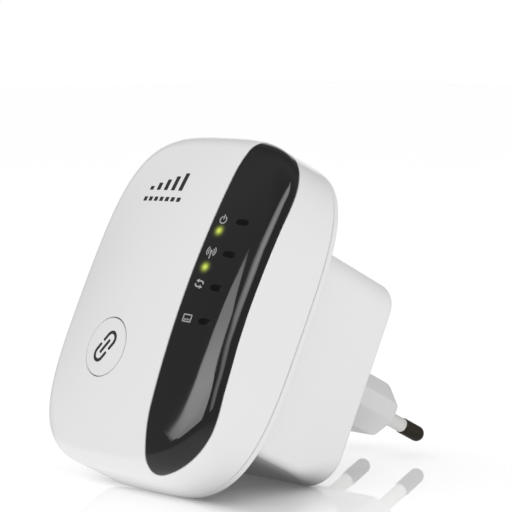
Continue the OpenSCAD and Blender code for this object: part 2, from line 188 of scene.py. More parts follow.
# ---------------------------------------------------------------- mesh helpers
def mesh_object(name, verts, faces, corner_normals=None, smooth=True):
    mesh = bpy.data.meshes.new(name)
    mesh.from_pydata([tuple(v) for v in to_world(verts)], [],
                     [tuple(int(i) for i in f) for f in faces])
    mesh.validate(clean_customdata=False)
    mesh.polygons.foreach_set("use_smooth", [smooth] * len(mesh.polygons))
    # validate may drop faces, and the normals fit only a mesh that kept them all
    if corner_normals is not None and len(corner_normals) == len(mesh.loops):
        mesh.normals_split_custom_set([tuple(n) for n in unit(np.asarray(corner_normals))])
    mesh.update()
    ob = bpy.data.objects.new(name, mesh)
    bpy.context.scene.collection.objects.link(ob)
    return ob


def solid(name, verts, faces):
    """Closed mesh with its faces turned outward."""
    ob = mesh_object(name, verts, faces)
    bm = bmesh.new()
    bm.from_mesh(ob.data)
    bmesh.ops.recalc_face_normals(bm, faces=bm.faces)
    bm.to_mesh(ob.data)
    bm.free()
    return ob


def soften(ob, angle, weighted=True):
    """Smooth faces, sharp edges over the angle in degrees, face-weighted normals."""
    bm = bmesh.new()
    bm.from_mesh(ob.data)
    bmesh.ops.remove_doubles(bm, verts=bm.verts, dist=2e-6)
    bmesh.ops.dissolve_degenerate(bm, edges=bm.edges, dist=1e-6)
    limit = math.radians(angle)
    for f in bm.faces:
        f.smooth = True
    for e in bm.edges:
        e.smooth = not (len(e.link_faces) == 2 and e.calc_face_angle(0) > limit)
    bm.to_mesh(ob.data)
    bm.free()
    if weighted:
        modifier = ob.modifiers.new("weighted_normals", "WEIGHTED_NORMAL")
        modifier.keep_sharp = True
        modifier.weight = 80
    return ob


def ring_faces(rings, count, first=0):
    """Quads between successive closed rings of count vertices."""
    faces = []
    for j in range(rings - 1):
        for i in range(count):
            a, b = first + j * count + i, first + j * count + (i + 1) % count
            faces.append((a, b, b + count, a + count))
    return faces


def loft(name, rings):
    """Closed solid from a stack of rings of equal length, with flat ends."""
    count = len(rings[0])
    faces = ring_faces(len(rings), count)
    faces.append(tuple(range(count))[::-1])
    faces.append(tuple(range((len(rings) - 1) * count, len(rings) * count)))
    return solid(name, np.concatenate(rings), faces)


def polar_loft(name, start, rings, end):
    """Closed solid from a stack of rings that closes to a point at each end."""
    count = len(rings[0])
    verts = np.concatenate([[start]] + rings + [[end]])
    last = len(verts) - 1
    base = last - count
    faces = [(0, 1 + i, 1 + (i + 1) % count) for i in range(count)]
    faces += ring_faces(len(rings), count, 1)
    faces += [(base + (i + 1) % count, base + i, last) for i in range(count)]
    return solid(name, verts, faces)


def lathe(name, profile, x, z, count):
    """Solid of revolution about an axis along Y. The profile is (radius, y), pole to pole."""
    rings = [ring_y(circle(x, z, r, count), y) for r, y in profile[1:-1]]
    ob = polar_loft(name, (x, profile[0][1], z), rings, (x, profile[-1][1], z))
    return soften(ob, 35, weighted=False)


def prism_y(flat, y0, y1, dz=0.0):
    return loft("cut", [ring_y(flat, y, dz) for y in (y0, y1)])


def prism_z(flat, z0, z1):
    return loft("cut", [np.column_stack([flat, np.full(len(flat), z)]) for z in (z0, z1)])


def box(low, high):
    x0, y0, z0 = low
    x1, y1, z1 = high
    verts = [(x, y, z) for z in (z0, z1) for x, y in ((x0, y0), (x1, y0), (x1, y1), (x0, y1))]
    faces = [(3, 2, 1, 0), (4, 5, 6, 7), (0, 1, 5, 4), (1, 2, 6, 5), (2, 3, 7, 6), (3, 0, 4, 7)]
    return mesh_object("cut", verts, faces, smooth=False)


def boolean(ob, tools, operation="DIFFERENCE"):
    """Applies each tool to ob in turn, then removes the tools."""
    for tool in tools:
        modifier = ob.modifiers.new("b", "BOOLEAN")
        modifier.operation = operation
        modifier.solver = "MANIFOLD"
        modifier.object = tool
    bpy.context.view_layer.update()
    depsgraph = bpy.context.evaluated_depsgraph_get()
    mesh = bpy.data.meshes.new_from_object(ob.evaluated_get(depsgraph))
    ob.modifiers.clear()
    old = ob.data
    ob.data = mesh
    mesh.name = old.name
    for tool in tools:
        bpy.data.objects.remove(tool)


# ---------------------------------------------------------------- crown surface
def crown_y(x, z):
    u, v = x / CROWN_W, z / CROWN_H
    return -APEX + CROWN * (u * u + v * v - CROWN_CORNER * u * u * v * v)


def crown_normal(x, z):
    u, v = x / CROWN_W, z / CROWN_H
    slope_x = CROWN * (2 * u - 2 * CROWN_CORNER * u * v * v) / CROWN_W
    slope_z = CROWN * (2 * v - 2 * CROWN_CORNER * u * u * v) / CROWN_H
    return unit(np.stack([slope_x, -np.ones_like(slope_x), slope_z], -1))


def on_crown(flat):
    """Points and normals on the crown over flat x, z points."""
    x, z = flat[:, 0], flat[:, 1]
    return np.stack([x, crown_y(x, z), z], 1), crown_normal(x, z)


# ---------------------------------------------------------------- node graphs
class Graph:
    """A shader node tree, with short ways to add and wire nodes."""

    def __init__(self, owner, end=None):
        """Starts afresh with the output node end, or opens the tree as it is."""
        owner.use_nodes = True
        self.tree = owner.node_tree
        if end:
            self.tree.nodes.clear()
            self.end = self.add(end)

    def add(self, kind, inputs=None, **settings):
        node = self.tree.nodes.new("ShaderNode" + kind)
        for key, value in settings.items():
            setattr(node, key, value)
        for key, value in (inputs or {}).items():
            self.feed(node.inputs[key], value)
        return node

    def feed(self, socket, value):
        """Sets a socket to a value, or links it to a socket or a node's first output."""
        if isinstance(value, bpy.types.Node):
            value = value.outputs[0]
        if isinstance(value, bpy.types.NodeSocket):
            self.tree.links.new(value, socket)
        else:
            socket.default_value = value

    def finish(self, shader):
        self.feed(self.end.inputs[0], shader)

    def math(self, operation, *values):
        return self.add("Math", dict(enumerate(values)), operation=operation)

    def vector(self, operation, a, b):
        return self.add("VectorMath", {0: a, 1: b}, operation=operation)

    def ramp(self, value, start, end, low=0.0, high=1.0, shape="SMOOTHSTEP"):
        """Goes from low to high as value goes from start to end."""
        return self.add("MapRange", {"From Min": start, "From Max": end, "To Min": low,
                                     "To Max": high, "Value": value}, interpolation_type=shape)

    def mix(self, factor, a, b):
        return self.add("Mix", {0: factor, 2: a, 3: b}, data_type="FLOAT").outputs[0]

    def mix_color(self, factor, a, b):
        return self.add("Mix", {0: factor, 6: a, 7: b}, data_type="RGBA").outputs[2]

    def mix_shader(self, factor, a, b):
        return self.add("MixShader", {0: factor, 1: a, 2: b})


# ---------------------------------------------------------------- materials
def surface(name, color, rough, vary, bump, grain, cloud, rough_vary=0.05, metallic=0.0,
            specular=0.5, coat=0.0, coat_rough=0.05, stretch=None, painted_hollow_shade=0.0,
            transmission=0.0):
    """Plastic, metal or board with cloudy colour and roughness and a fine grain.

    vary is the colour change as a fraction and rough_vary the roughness change each way;
    cloud and grain are noise scales; bump is the grain's height in metres; stretch scales
    the grain by axis; painted_hollow_shade paints shade into the hollows by darkening their
    colour.
    """
    def shade(factor):
        return tuple(c * factor for c in color) + (1,)

    material = bpy.data.materials.new(name)
    graph = Graph(material, "OutputMaterial")
    shader = graph.add("BsdfPrincipled", {
        "Metallic": metallic, "Specular IOR Level": specular, "Coat Weight": coat,
        "Coat Roughness": coat_rough, "Transmission Weight": transmission})
    graph.finish(shader)
    coords = graph.add("TexCoord").outputs["Object"]
    grain_coords = coords
    if stretch:
        grain_coords = graph.add("Mapping", {0: coords, "Scale": stretch})
    clouds = graph.add("TexNoise", {"Vector": coords, "Scale": cloud, "Detail": 4}).outputs["Fac"]
    grains = graph.add("TexNoise", {"Vector": grain_coords, "Scale": grain, "Detail": 3})
    tone = graph.mix_color(clouds, shade(1 - vary), shade(1 + vary))
    # painted shade: the colour is darkened in hollows, where shade would fall
    if painted_hollow_shade > 0:
        pointiness = graph.add("NewGeometry").outputs["Pointiness"]
        hollow_shade_mix = graph.ramp(pointiness, 0.47, 0.40, low=0.0, high=painted_hollow_shade, shape="LINEAR")
        tone = graph.mix_color(hollow_shade_mix, tone, shade(0.45))
    graph.feed(shader.inputs["Base Color"], tone)
    graph.feed(shader.inputs["Roughness"],
               graph.ramp(clouds, 0.3, 0.7, low=rough - rough_vary, high=rough + rough_vary,
                          shape="LINEAR"))
    graph.feed(shader.inputs["Normal"], graph.add("Bump", {
        "Strength": 1.0, "Distance": bump, "Height": grains.outputs["Fac"]}))
    material["bsdf"] = shader.name  # lets glow find the shader
    return material


GLOW_RADIUS = 0.00088  # metres
GLOW_COLOR = (0.62, 0.74, 0.095, 1)


def glow(material, peak):
    """Adds emission that falls off smoothly around each lit lamp."""
    graph = Graph(material)
    shader = graph.tree.nodes[material["bsdf"]]
    coords = graph.add("TexCoord").outputs["Object"]
    total = None
    for x, z in LAMPS:
        lamp = tuple(to_world([x, crown_y(x, z), z]))
        distance = graph.vector("DISTANCE", coords, lamp).outputs["Value"]
        squared = graph.math("POWER", graph.math("DIVIDE", distance, GLOW_RADIUS), 2.0)
        spot = graph.math("EXPONENT", graph.math("MULTIPLY", squared, -1.0))
        total = spot if total is None else graph.math("ADD", total, spot)
    graph.feed(shader.inputs["Emission Color"], GLOW_COLOR)
    graph.feed(shader.inputs["Emission Strength"], graph.math("MULTIPLY", total, peak))
    return material


# The material for each slot; painted_hollow_shade sets how much painted shade darkens the hollows
SLOTS = {
    "shell": surface(
        "shell_gloss_white", color=(0.80, 0.80, 0.805), rough=0.24, vary=0.012, rough_vary=0.03,
        bump=2.5e-6, grain=700, cloud=35, coat=0.35, coat_rough=0.08, painted_hollow_shade=0.25),
    "rear": surface(
        "rear_satin_white", color=(0.785, 0.785, 0.79), rough=0.38, vary=0.015, rough_vary=0.04,
        bump=6e-6, grain=1800, cloud=40, painted_hollow_shade=0.3),
    "button": surface(
        "button_gloss_white", color=(0.79, 0.79, 0.79), rough=0.22, vary=0.012, rough_vary=0.03,
        bump=2e-6, grain=800, cloud=60, coat=0.3, painted_hollow_shade=0.25),
    "base": surface(
        "plug_base_satin_grey", color=(0.64, 0.64, 0.64), rough=0.42, vary=0.03,
        bump=8e-6, grain=1500, cloud=70, painted_hollow_shade=0.25),
    "sleeve": surface(
        "sleeve_grey", color=(0.62, 0.62, 0.60), rough=0.46, vary=0.03,
        bump=8e-6, grain=1600, cloud=150),
    "pin_metal": surface(
        "pin_dark_plating", color=(0.055, 0.047, 0.034), rough=0.34, vary=0.25, rough_vary=0.08,
        bump=6e-6, grain=1400, cloud=500, metallic=0.85, stretch=(6, 0.35, 6)),
    "screw_metal": surface(
        "screw_zinc", color=(0.55, 0.55, 0.56), rough=0.3, vary=0.08,
        bump=8e-6, grain=1500, cloud=300, metallic=1.0),
    "label": surface(
        "label_foil", color=(0.62, 0.62, 0.63), rough=0.5, vary=0.04,
        bump=5e-6, grain=1200, cloud=90, metallic=0.25),
    "board_green": surface(
        "board_green_mask", color=(0.02, 0.16, 0.06), rough=0.32, vary=0.25,
        bump=1.2e-5, grain=420, cloud=240, coat=0.3),
    "board_tan": surface(
        "board_tan_laminate", color=(0.50, 0.36, 0.17), rough=0.5, vary=0.14,
        bump=1.4e-5, grain=700, cloud=200, stretch=(1, 1, 6)),
    "chip": surface(
        "moulded_epoxy_black", color=(0.02, 0.02, 0.022), rough=0.55, vary=0.2,
        bump=1.2e-5, grain=2500, cloud=300),
    "can_metal": surface(
        "tinned_steel", color=(0.66, 0.67, 0.68), rough=0.28, vary=0.06,
        bump=8e-6, grain=900, cloud=250, metallic=1.0, stretch=(1, 1, 8)),
    "gold_metal": surface(
        "gold_plate", color=(0.78, 0.55, 0.2), rough=0.25, vary=0.08,
        bump=5e-6, grain=1200, cloud=300, metallic=1.0),
    "lead_black": surface(
        "lead_jacket_black", color=(0.02, 0.02, 0.02), rough=0.5, vary=0.2,
        bump=8e-6, grain=1800, cloud=300),
    "lead_red": surface(
        "lead_jacket_red", color=(0.42, 0.02, 0.02), rough=0.45, vary=0.12,
        bump=8e-6, grain=1800, cloud=300),
    "plunger": surface(
        "plunger_tan", color=(0.45, 0.35, 0.24), rough=0.5, vary=0.08,
        bump=8e-6, grain=1600, cloud=300),
    "ferrite": surface(
        "sintered_ferrite", color=(0.035, 0.035, 0.038), rough=0.62, vary=0.3,
        bump=3e-5, grain=1500, cloud=400),
    "copper": surface(
        "winding_tape_yellow", color=(0.62, 0.42, 0.06), rough=0.35, vary=0.1,
        bump=2e-5, grain=500, cloud=200, stretch=(14, 1, 1)),
    "can_blue": surface(
        "capacitor_sleeve_blue", color=(0.02, 0.03, 0.12), rough=0.3, vary=0.15,
        bump=1e-5, grain=700, cloud=200),
    "ceramic_blue": surface(
        "dipped_ceramic_blue", color=(0.03, 0.13, 0.42), rough=0.3, vary=0.12,
        bump=2e-5, grain=500, cloud=200),
    "resistor": surface(
        "resistor_coat_green", color=(0.1, 0.26, 0.16), rough=0.42, vary=0.12,
        bump=1.5e-5, grain=700, cloud=250),
    "guide": surface(
        "light_guide_clear", color=(0.75, 0.82, 0.76), rough=0.15, vary=0.05,
        bump=4e-6, grain=700, cloud=150, transmission=0.6),
}
LIGHT_INK = surface("printed_ink_light", color=(0.37, 0.37, 0.37), rough=0.5, vary=0.08,
                    bump=4e-6, grain=2600, cloud=900)
DARK_INK = surface("printed_ink_dark", color=(0.022, 0.022, 0.024), rough=0.45, vary=0.12,
                   bump=4e-6, grain=2600, cloud=900)
SMOKED_LENS = surface("lamp_lens_smoked", color=(0.0055, 0.0055, 0.0055), rough=0.10, vary=0.3,
                      rough_vary=0.02, bump=6e-7, grain=1500, cloud=400, specular=0.08)
# Smoked gloss black, with the glow of the two lit lamps behind it
SLOTS["window"] = glow(surface(
    "window_gloss_black", color=(0.004, 0.004, 0.0042), rough=0.03, vary=0.3, rough_vary=0.008,
    bump=6e-7, grain=160, cloud=50), peak=0.95)
SLOTS["led"] = glow(surface(
    "lamp_lit_green", color=(0.03, 0.04, 0.01), rough=0.12, vary=0.1, bump=2e-6, grain=1500,
    cloud=500, specular=0.4), peak=1.0)


def paint(ob, material):
    ob.data.materials.clear()
    ob.data.materials.append(material)


def place(ob, slot, body="body", replaces=(), material=None):
    """Gives a piece its material (the slot's unless named) and its body."""
    paint(ob, material or SLOTS[slot])
    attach(ob, body)
    if replaces:
        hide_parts(*replaces)


# ---------------------------------------------------------------- pillow skin
def skin_columns(angles):
    """Seam points, their outward direction, and where the edge radius meets the crown.

    The last three are the inset from the seam, the arc angle there and the arc centre's y.
    """
    seam = outline(angles)
    half = np.array([HALF_W, HALF_H])
    outward = unit(np.sign(seam) * np.abs(seam / half) ** (OUTLINE_POWER - 1) / half)

    def crown_at(inset):
        p = seam - outward * inset[:, None]
        return crown_y(p[:, 0], p[:, 1])

    def slope_at(inset):
        return (crown_at(inset + 1e-3) - crown_at(inset - 1e-3)) / 2e-3
    inset = np.full(len(angles), EDGE_INSET)
    for _ in range(30):
        slope = slope_at(inset)
        inset = DRAFT + EDGE_R - EDGE_R * (-slope / np.sqrt(1 + slope * slope))
    arc_end = np.arctan2(1.0, -slope_at(inset))
    arc_y = crown_at(inset) + EDGE_R * np.sin(arc_end)
    return seam, outward, inset, arc_end, arc_y


def pillow_skin():
    """The whole front skin as points, normals and triangles, seam ring first."""
    angles = (np.arange(COLUMNS) + 0.5) * 2 * math.pi / COLUMNS
    seam, outward, inset, arc_end, arc_y = skin_columns(angles)
    rows, normals = [], []

    def add_row(flat, y, rising):
        ring = ring_y(flat, y)
        along = np.roll(ring, -1, 0) - np.roll(ring, 1, 0)
        n = unit(np.cross(along, rising))
        outside = ring_y(outward, -0.2)
        n *= np.sign((n * outside).sum(1))[:, None]
        rows.append(ring)
        normals.append(n)
    for v in np.linspace(SEAM_R / -arc_y.mean(), 1, SIDE_ROWS):
        rising = ring_y(-outward * 2 * DRAFT * (1 - v), arc_y)
        add_row(seam - outward * (DRAFT * (1 - (1 - v) ** 2)), arc_y * v, rising)
    for i in range(1, ARC_ROWS + 1):
        t = arc_end * i / ARC_ROWS
        depth = DRAFT + EDGE_R - EDGE_R * np.cos(t)
        rising = ring_y(-outward * np.sin(t)[:, None], -np.cos(t))
        add_row(seam - outward * depth[:, None], arc_y - EDGE_R * np.sin(t), rising)
    rim = seam - outward * inset[:, None]
    normals[-1] = crown_normal(rim[:, 0], rim[:, 1])
    for i in range(1, CROWN_ROWS):
        points, n = on_crown(rim * (1 - i / CROWN_ROWS))
        rows.append(points)
        normals.append(n)
    verts = np.concatenate(rows + [np.array([[0, -APEX, 0]])])
    normals = np.concatenate(normals + [np.array([[0, -1.0, 0]])])
    tris = []
    i = np.arange(COLUMNS)
    j = (i + 1) % COLUMNS
    last = (len(rows) - 1) * COLUMNS
    for base in range(0, last, COLUMNS):
        a, b, c, d = base + i, base + j, base + COLUMNS + j, base + COLUMNS + i
        tris.append(np.stack([a, c, b], 1))
        tris.append(np.stack([a, d, c], 1))
    tris.append(np.stack([last + i, np.full(COLUMNS, last + COLUMNS), last + j], 1))
    tris = np.concatenate(tris)
    # turn the winding outward
    half = tris[: len(tris) // 2]
    cross = np.cross(verts[half[:, 1]] - verts[half[:, 0]], verts[half[:, 2]] - verts[half[:, 0]])
    if (cross * normals[half[:, 0]]).sum() < 0:
        tris = tris[:, ::-1]
    return verts, normals, tris


def surface_gradient(field, points, normals, step=2e-3):
    """Gradient of a field along the skin."""
    g = np.zeros_like(points)
    for axis in range(3):
        d = np.zeros(3)
        d[axis] = step
        g[:, axis] = (field(points + d) - field(points - d)) / (2 * step)
    return g - (g * normals).sum(1)[:, None] * normals


def trim(verts, normals, tris, field, snap=0.10):
    """Keeps the part of a triangle skin where field > 0, cut cleanly along field = 0.

    Also returns the map from old vertex numbers to new ones, -1 where dropped.
    """
    verts, normals = verts.copy(), normals.copy()
    value = field(verts)
    # slide vertices that are nearly on the cut onto it
    near = np.where(np.abs(value) < snap * 1.5)[0]
    grad = surface_gradient(field, verts[near], normals[near])
    steep = np.maximum(np.linalg.norm(grad, axis=1), 0.2)
    moved = np.abs(value[near]) < snap * steep
    near, grad, steep = near[moved], grad[moved], steep[moved]
    verts[near] -= grad * (value[near] / steep ** 2)[:, None]
    value[near] = 0.0
    side = np.sign(value)
    below, above = (side[tris] < 0).sum(1), (side[tris] > 0).sum(1)
    keep = tris[(below == 0) & (above > 0)]
    crossing = tris[(below > 0) & (above > 0)]
    # outline the kept part of each crossing triangle; new vertices lie on its edges
    edges = {}
    base = len(verts)
    polygons = []
    for tri in crossing.tolist():
        polygon = []
        for a, b in zip(tri, tri[1:] + tri[:1]):
            if side[a] >= 0:
                polygon.append(a)
            if side[a] * side[b] < 0:
                polygon.append(base + edges.setdefault((min(a, b), max(a, b)), len(edges)))
        polygons.append(polygon)
    if edges:
        ends_a, ends_b = np.array(list(edges), int).T
        low, high = np.zeros(len(edges)), np.ones(len(edges))
        value_a, value_b = value[ends_a].copy(), value[ends_b].copy()
        t = value_a / (value_a - value_b)

        def between(array):
            return array[ends_a] * (1 - t)[:, None] + array[ends_b] * t[:, None]
        for _ in range(6):
            value_t = field(between(verts))
            same = np.sign(value_t) == np.sign(value[ends_a])
            low = np.where(same, t, low)
            value_a = np.where(same, value_t, value_a)
            high = np.where(same, high, t)
            value_b = np.where(same, value_b, value_t)
            span = np.where(np.abs(value_a - value_b) < 1e-12, 1, value_a - value_b)
            t = np.clip(low + (high - low) * value_a / span, 0.001, 0.999)
        new_verts, new_normals = between(verts), unit(between(normals))
        verts = np.concatenate([verts, new_verts])
        normals = np.concatenate([normals, new_normals])
    new = []
    for p in polygons:
        if len(p) == 3:
            new.append(p)
        elif len(p) == 4:
            # split along the shorter diagonal
            first = np.linalg.norm(verts[p[0]] - verts[p[2]])
            second = np.linalg.norm(verts[p[1]] - verts[p[3]])
            if first <= second:
                new += [[p[0], p[1], p[2]], [p[0], p[2], p[3]]]
            else:
                new += [[p[1], p[2], p[3]], [p[1], p[3], p[0]]]
    tris = np.concatenate([keep, np.array(new, int).reshape(-1, 3)])
    used = np.unique(tris)
    remap = -np.ones(len(verts), int)
    remap[used] = np.arange(len(used))
    return verts[used], normals[used], remap[tris], remap


def thick_skin(name, verts, normals, tris, field, thickness, lip, seam_count=0, lip_steps=5,
               shade=None):
    """Closed solid under a skin, its cut edges rounded by lip.

    The first seam_count vertices lie on the seam and are rounded by SEAM_R instead.
    shade gives other normals for the outer face.
    """
    count = len(verts)
    edges = np.concatenate([tris[:, [0, 1]], tris[:, [1, 2]], tris[:, [2, 0]]])
    key = np.sort(edges, 1)
    key = key[:, 0] * count + key[:, 1]
    _, which, uses = np.unique(key, return_inverse=True, return_counts=True)
    border_edges = edges[uses[which] == 1]
    border = np.unique(border_edges)
    seam = border < seam_count
    rim, up = verts[border], normals[border]
    grad = surface_gradient(field, rim, up)
    steep = np.maximum(np.linalg.norm(grad, axis=1), 1e-6)
    out = -grad / steep[:, None]
    out[seam] = np.array([0, 1.0, 0])
    radius = np.where(seam, SEAM_R, lip / np.clip(steep, 0.5, 2.0))[:, None]
    rings, ring_normals = [], []
    for k in range(1, lip_steps + 1):
        a = math.pi / 2 * k / lip_steps
        rings.append(rim + out * (radius * math.sin(a)) - up * (radius * (1 - math.cos(a))))
        ring_normals.append(up * math.cos(a) + out * math.sin(a))
    inner = verts - normals * thickness
    cut = ~seam
    inner[border[cut]] = rim[cut] + out[cut] * radius[cut] - up[cut] * thickness

    border_count = len(border)
    position = -np.ones(count, int)
    position[border] = np.arange(border_count)
    inner_start = count + lip_steps * border_count
    top = normals if shade is None else shade
    faces, corner_normals = [], []
    for tri in tris.tolist():
        faces.append(tri)
        corner_normals += [top[i] for i in tri]
    for tri in tris.tolist():
        faces.append([inner_start + i for i in tri[::-1]])
        corner_normals += [-normals[i] for i in tri[::-1]]
    wall = ring_normals[-1]
    for a, b in border_edges.tolist():
        at_a, at_b = position[a], position[b]
        last = (a, b)
        last_n = (top[a], top[b])
        for k in range(lip_steps):
            start = count + k * border_count
            now = (start + at_a, start + at_b)
            now_n = (ring_normals[k][at_a], ring_normals[k][at_b])
            faces.append([last[1], last[0], now[0], now[1]])
            corner_normals += [last_n[1], last_n[0], now_n[0], now_n[1]]
            last, last_n = now, now_n
        faces.append([last[1], last[0], inner_start + a, inner_start + b])
        corner_normals += [wall[at_b], wall[at_a], wall[at_a], wall[at_b]]
    return mesh_object(name, np.concatenate([verts] + rings + [inner]), faces, corner_normals)


# ---------------------------------------------------------------- cover, window and seat
# Where the window ends on the shell's side: height above or below centre, and y there
WINDOW_BACK_TOP = ([0, 8, 14, 20, 26, 30, 34, 37, 40, 43],
                   [-16.25, -16.1, -15.8, -15.2, -14.0, -12.95, -11.9, -11.0, -10.3, -10.0])
WINDOW_BACK_LOW = ([0, 8, 14, 20, 26, 30, 34, 38, 43],
                   [-16.25, -16.1, -15.7, -15.1, -13.9, -13.1, -12.75, -12.65, -12.6])


def outside_window(points):
    """Distance outside the window's left and rear borders, negative within it."""
    x, y, z = points.T
    left = (11.62 - 0.006 * z + 1.4 * np.clip((z - 31) / 8, 0, None) ** 2
            + 2.9 * np.clip((-z - 26) / 14, 0, None) ** 2)
    height = np.abs(z)
    back = np.where(z > 0, smooth_knots(*WINDOW_BACK_TOP, height),
                    smooth_knots(*WINDOW_BACK_LOW, height))
    r = 2.5 + 1.5 * smoothstep(-5, 5, z)
    a, b = left - x + r, y - back + r
    return np.minimum(np.maximum(a, b), 0) + np.hypot(np.maximum(a, 0), np.maximum(b, 0)) - r


def cover_field(points):
    """Positive on the cover: outside both the window and the button hole."""
    hole = np.hypot(points[:, 0] - BUTTON_X, points[:, 2] - BUTTON_Z)
    hole -= BUTTON_R + 0.22 + COVER_LIP
    return np.minimum(outside_window(points) - WINDOW_GAP - COVER_LIP, hole)


def window_field(points):
    return -(outside_window(points) + WINDOW_GAP + WINDOW_LIP)


def seat_field(points):
    """Positive on the seat: under the window and its border, clear of lamps and lenses."""
    x, z = points[:, 0], points[:, 2]
    value = 1.6 - outside_window(points)
    front = points[:, 1] < -14
    for lamp_x, lamp_z in LAMPS:
        way = np.hypot(x - lamp_x, z - lamp_z) - 1.25
        value = np.where(front, np.minimum(value, way), value)
    for lens_x, lens_z in LENSES:
        dx = np.maximum(np.abs(x - lens_x) - 1.0, 0)
        way = np.hypot(dx, z - lens_z) - 1.15
        value = np.where(front, np.minimum(value, way), value)
    return value


def window_normals(points, normals, rounder=0.006):
    """The polished window is a touch rounder along its length than the skin under it."""
    lean = np.zeros_like(points)
    lean[:, 2] = rounder * points[:, 2]
    return unit(normals + np.abs(normals[:, 1:2]) * lean)


SKIN = pillow_skin()

verts, normals, tris, remap = trim(*SKIN, cover_field)
seam_count = int((remap[:COLUMNS] >= 0).sum())
place(thick_skin("front_cover_shell", verts, normals, tris, cover_field, thickness=2.2,
                 lip=COVER_LIP, seam_count=seam_count), "shell", replaces=("front_cover",))

verts, normals, tris, _ = trim(*SKIN, window_field)
place(thick_skin("display_window_strip", verts, normals, tris, window_field, thickness=1.1,
                 lip=WINDOW_LIP, shade=window_normals(verts, normals)),
      "window", replaces=("display_window",))

SEAT_DEPTH = 1.2
verts, normals, tris = SKIN
verts, normals, tris, _ = trim(verts - normals * SEAT_DEPTH, normals, tris, seat_field)
place(thick_skin("front_cover_window_seat", verts, normals, tris, seat_field, thickness=1.0,
                 lip=0.05, lip_steps=2), "shell")


# ---------------------------------------------------------------- screw bosses in the cover
def boss(name, x, z, root, end, outer, bore, depth):
    """Post with a flared root and a blind hole in its rear end."""
    profile = [(0, root), (outer + 0.8, root), (outer + 0.25, root + 0.6), (outer, root + 1.4),
               (outer, end - 0.2), (outer - 0.2, end), (bore + 0.15, end), (bore, end - 0.15),
               (bore, end - depth), (0, end - depth - 0.5)]
    place(lathe(name, profile, x, z, 40), "shell")


def boss_root(x, z):
    """A little behind the inner face of the crown."""
    return float(crown_y(x, z)) + 2.3


for i, (x, z) in enumerate(CASE_SCREWS):
    root = max(boss_root(x, z), -16.6 if z > 0 else -15.2)
    boss(f"front_cover_case_boss_{i + 1}", x, z, root + 0.2, end=-0.05, outer=2.8, bore=1.15,
         depth=10.5)
for i, (x, z) in enumerate(BOARD_SCREWS):
    boss(f"front_cover_board_boss_{i + 1}", x, z, boss_root(x, z) + 0.1, end=-2.05, outer=2.3,
         bore=0.85, depth=5.5)


# ---------------------------------------------------------------- pair button
# Radius and y, from the cap's side over its rear flange and hollow to the centre stem
BUTTON_BACK = [
    (BUTTON_R, -17.25), (BUTTON_R + 0.2, -17.05), (8.0, -17.05), (8.2, -16.85), (8.2, -16.1),
    (5.6, -16.1), (5.6, -18.3), (5.3, -18.6), (1.9, -18.6), (1.6, -18.3), (1.6, -6.6),
    (1.35, -6.35)]


def button_cap():
    """Cap whose front follows the crown."""
    def ring(r):
        return circle(BUTTON_X, BUTTON_Z, r, 96)
    rings = [on_crown(ring(r))[0] for r in np.linspace(0.45, BUTTON_R - BUTTON_LIP, 18)]
    edge_y = rings[-1][:, 1]
    for k in range(1, 6):
        t = math.pi / 2 * k / 5
        rings.append(ring_y(ring(BUTTON_R - BUTTON_LIP + BUTTON_LIP * math.sin(t)),
                            edge_y + BUTTON_LIP * (1 - math.cos(t))))
    rings += [ring_y(ring(r), y) for r, y in BUTTON_BACK]
    ob = polar_loft("pair_button_cap", (BUTTON_X, crown_y(BUTTON_X, BUTTON_Z), BUTTON_Z), rings,
                    (BUTTON_X, BUTTON_BACK[-1][1], BUTTON_Z))
    return soften(ob, 38, weighted=False)


def button_rib(name, angle, side):
    """One arm of the cross of ribs inside the cap."""
    c, s = math.cos(math.radians(angle)), math.sin(math.radians(angle))
    centre = np.array([[BUTTON_X, BUTTON_Z]])
    corners = [(1.4, -0.45), (5.75, -0.45), (5.75, 0.45), (1.4, 0.45)]  # along, across
    flat = centre + np.array([(side * (u * c - v * s), side * (u * s + v * c))
                              for u, v in corners])
    rings = [ring_y(flat, -18.75), ring_y(flat, -16.7),
             ring_y(flat * 0.985 + centre * 0.015, -16.5)]
    return soften(loft(name, rings), 30)


place(button_cap(), "button", body="pair_button", replaces=("pair_button",))
for i, (angle, side) in enumerate(((45, -1), (45, 1), (135, -1), (135, 1))):
    place(button_rib(f"pair_button_rib_{i + 1}", angle, side), "button", body="pair_button")


# ---------------------------------------------------------------- printed marks
# A flat shape is a pair: its x, z points, and cells that list point numbers.
def printed(name, shapes, lift=0.035, sink=0.05):
    """Flat shapes laid on the crown as thin closed patches."""
    layers, faces = [], []
    first = 0
    for flat, cells in shapes:
        points, n = on_crown(np.asarray(flat, float))
        layers += [points + n * lift, points - n * sink]
        count = len(points)
        border = {}
        for cell in cells:
            faces.append([first + i for i in cell])
            faces.append([first + count + i for i in cell[::-1]])
            for i in range(len(cell)):
                a, b = cell[i], cell[(i + 1) % len(cell)]
                if (b, a) in border:
                    del border[(b, a)]
                else:
                    border[(a, b)] = 1
        for a, b in border:
            faces.append([first + b, first + a, first + count + a, first + count + b])
        first += 2 * count
    return soften(solid(name, np.concatenate(layers), faces), 35, weighted=False)


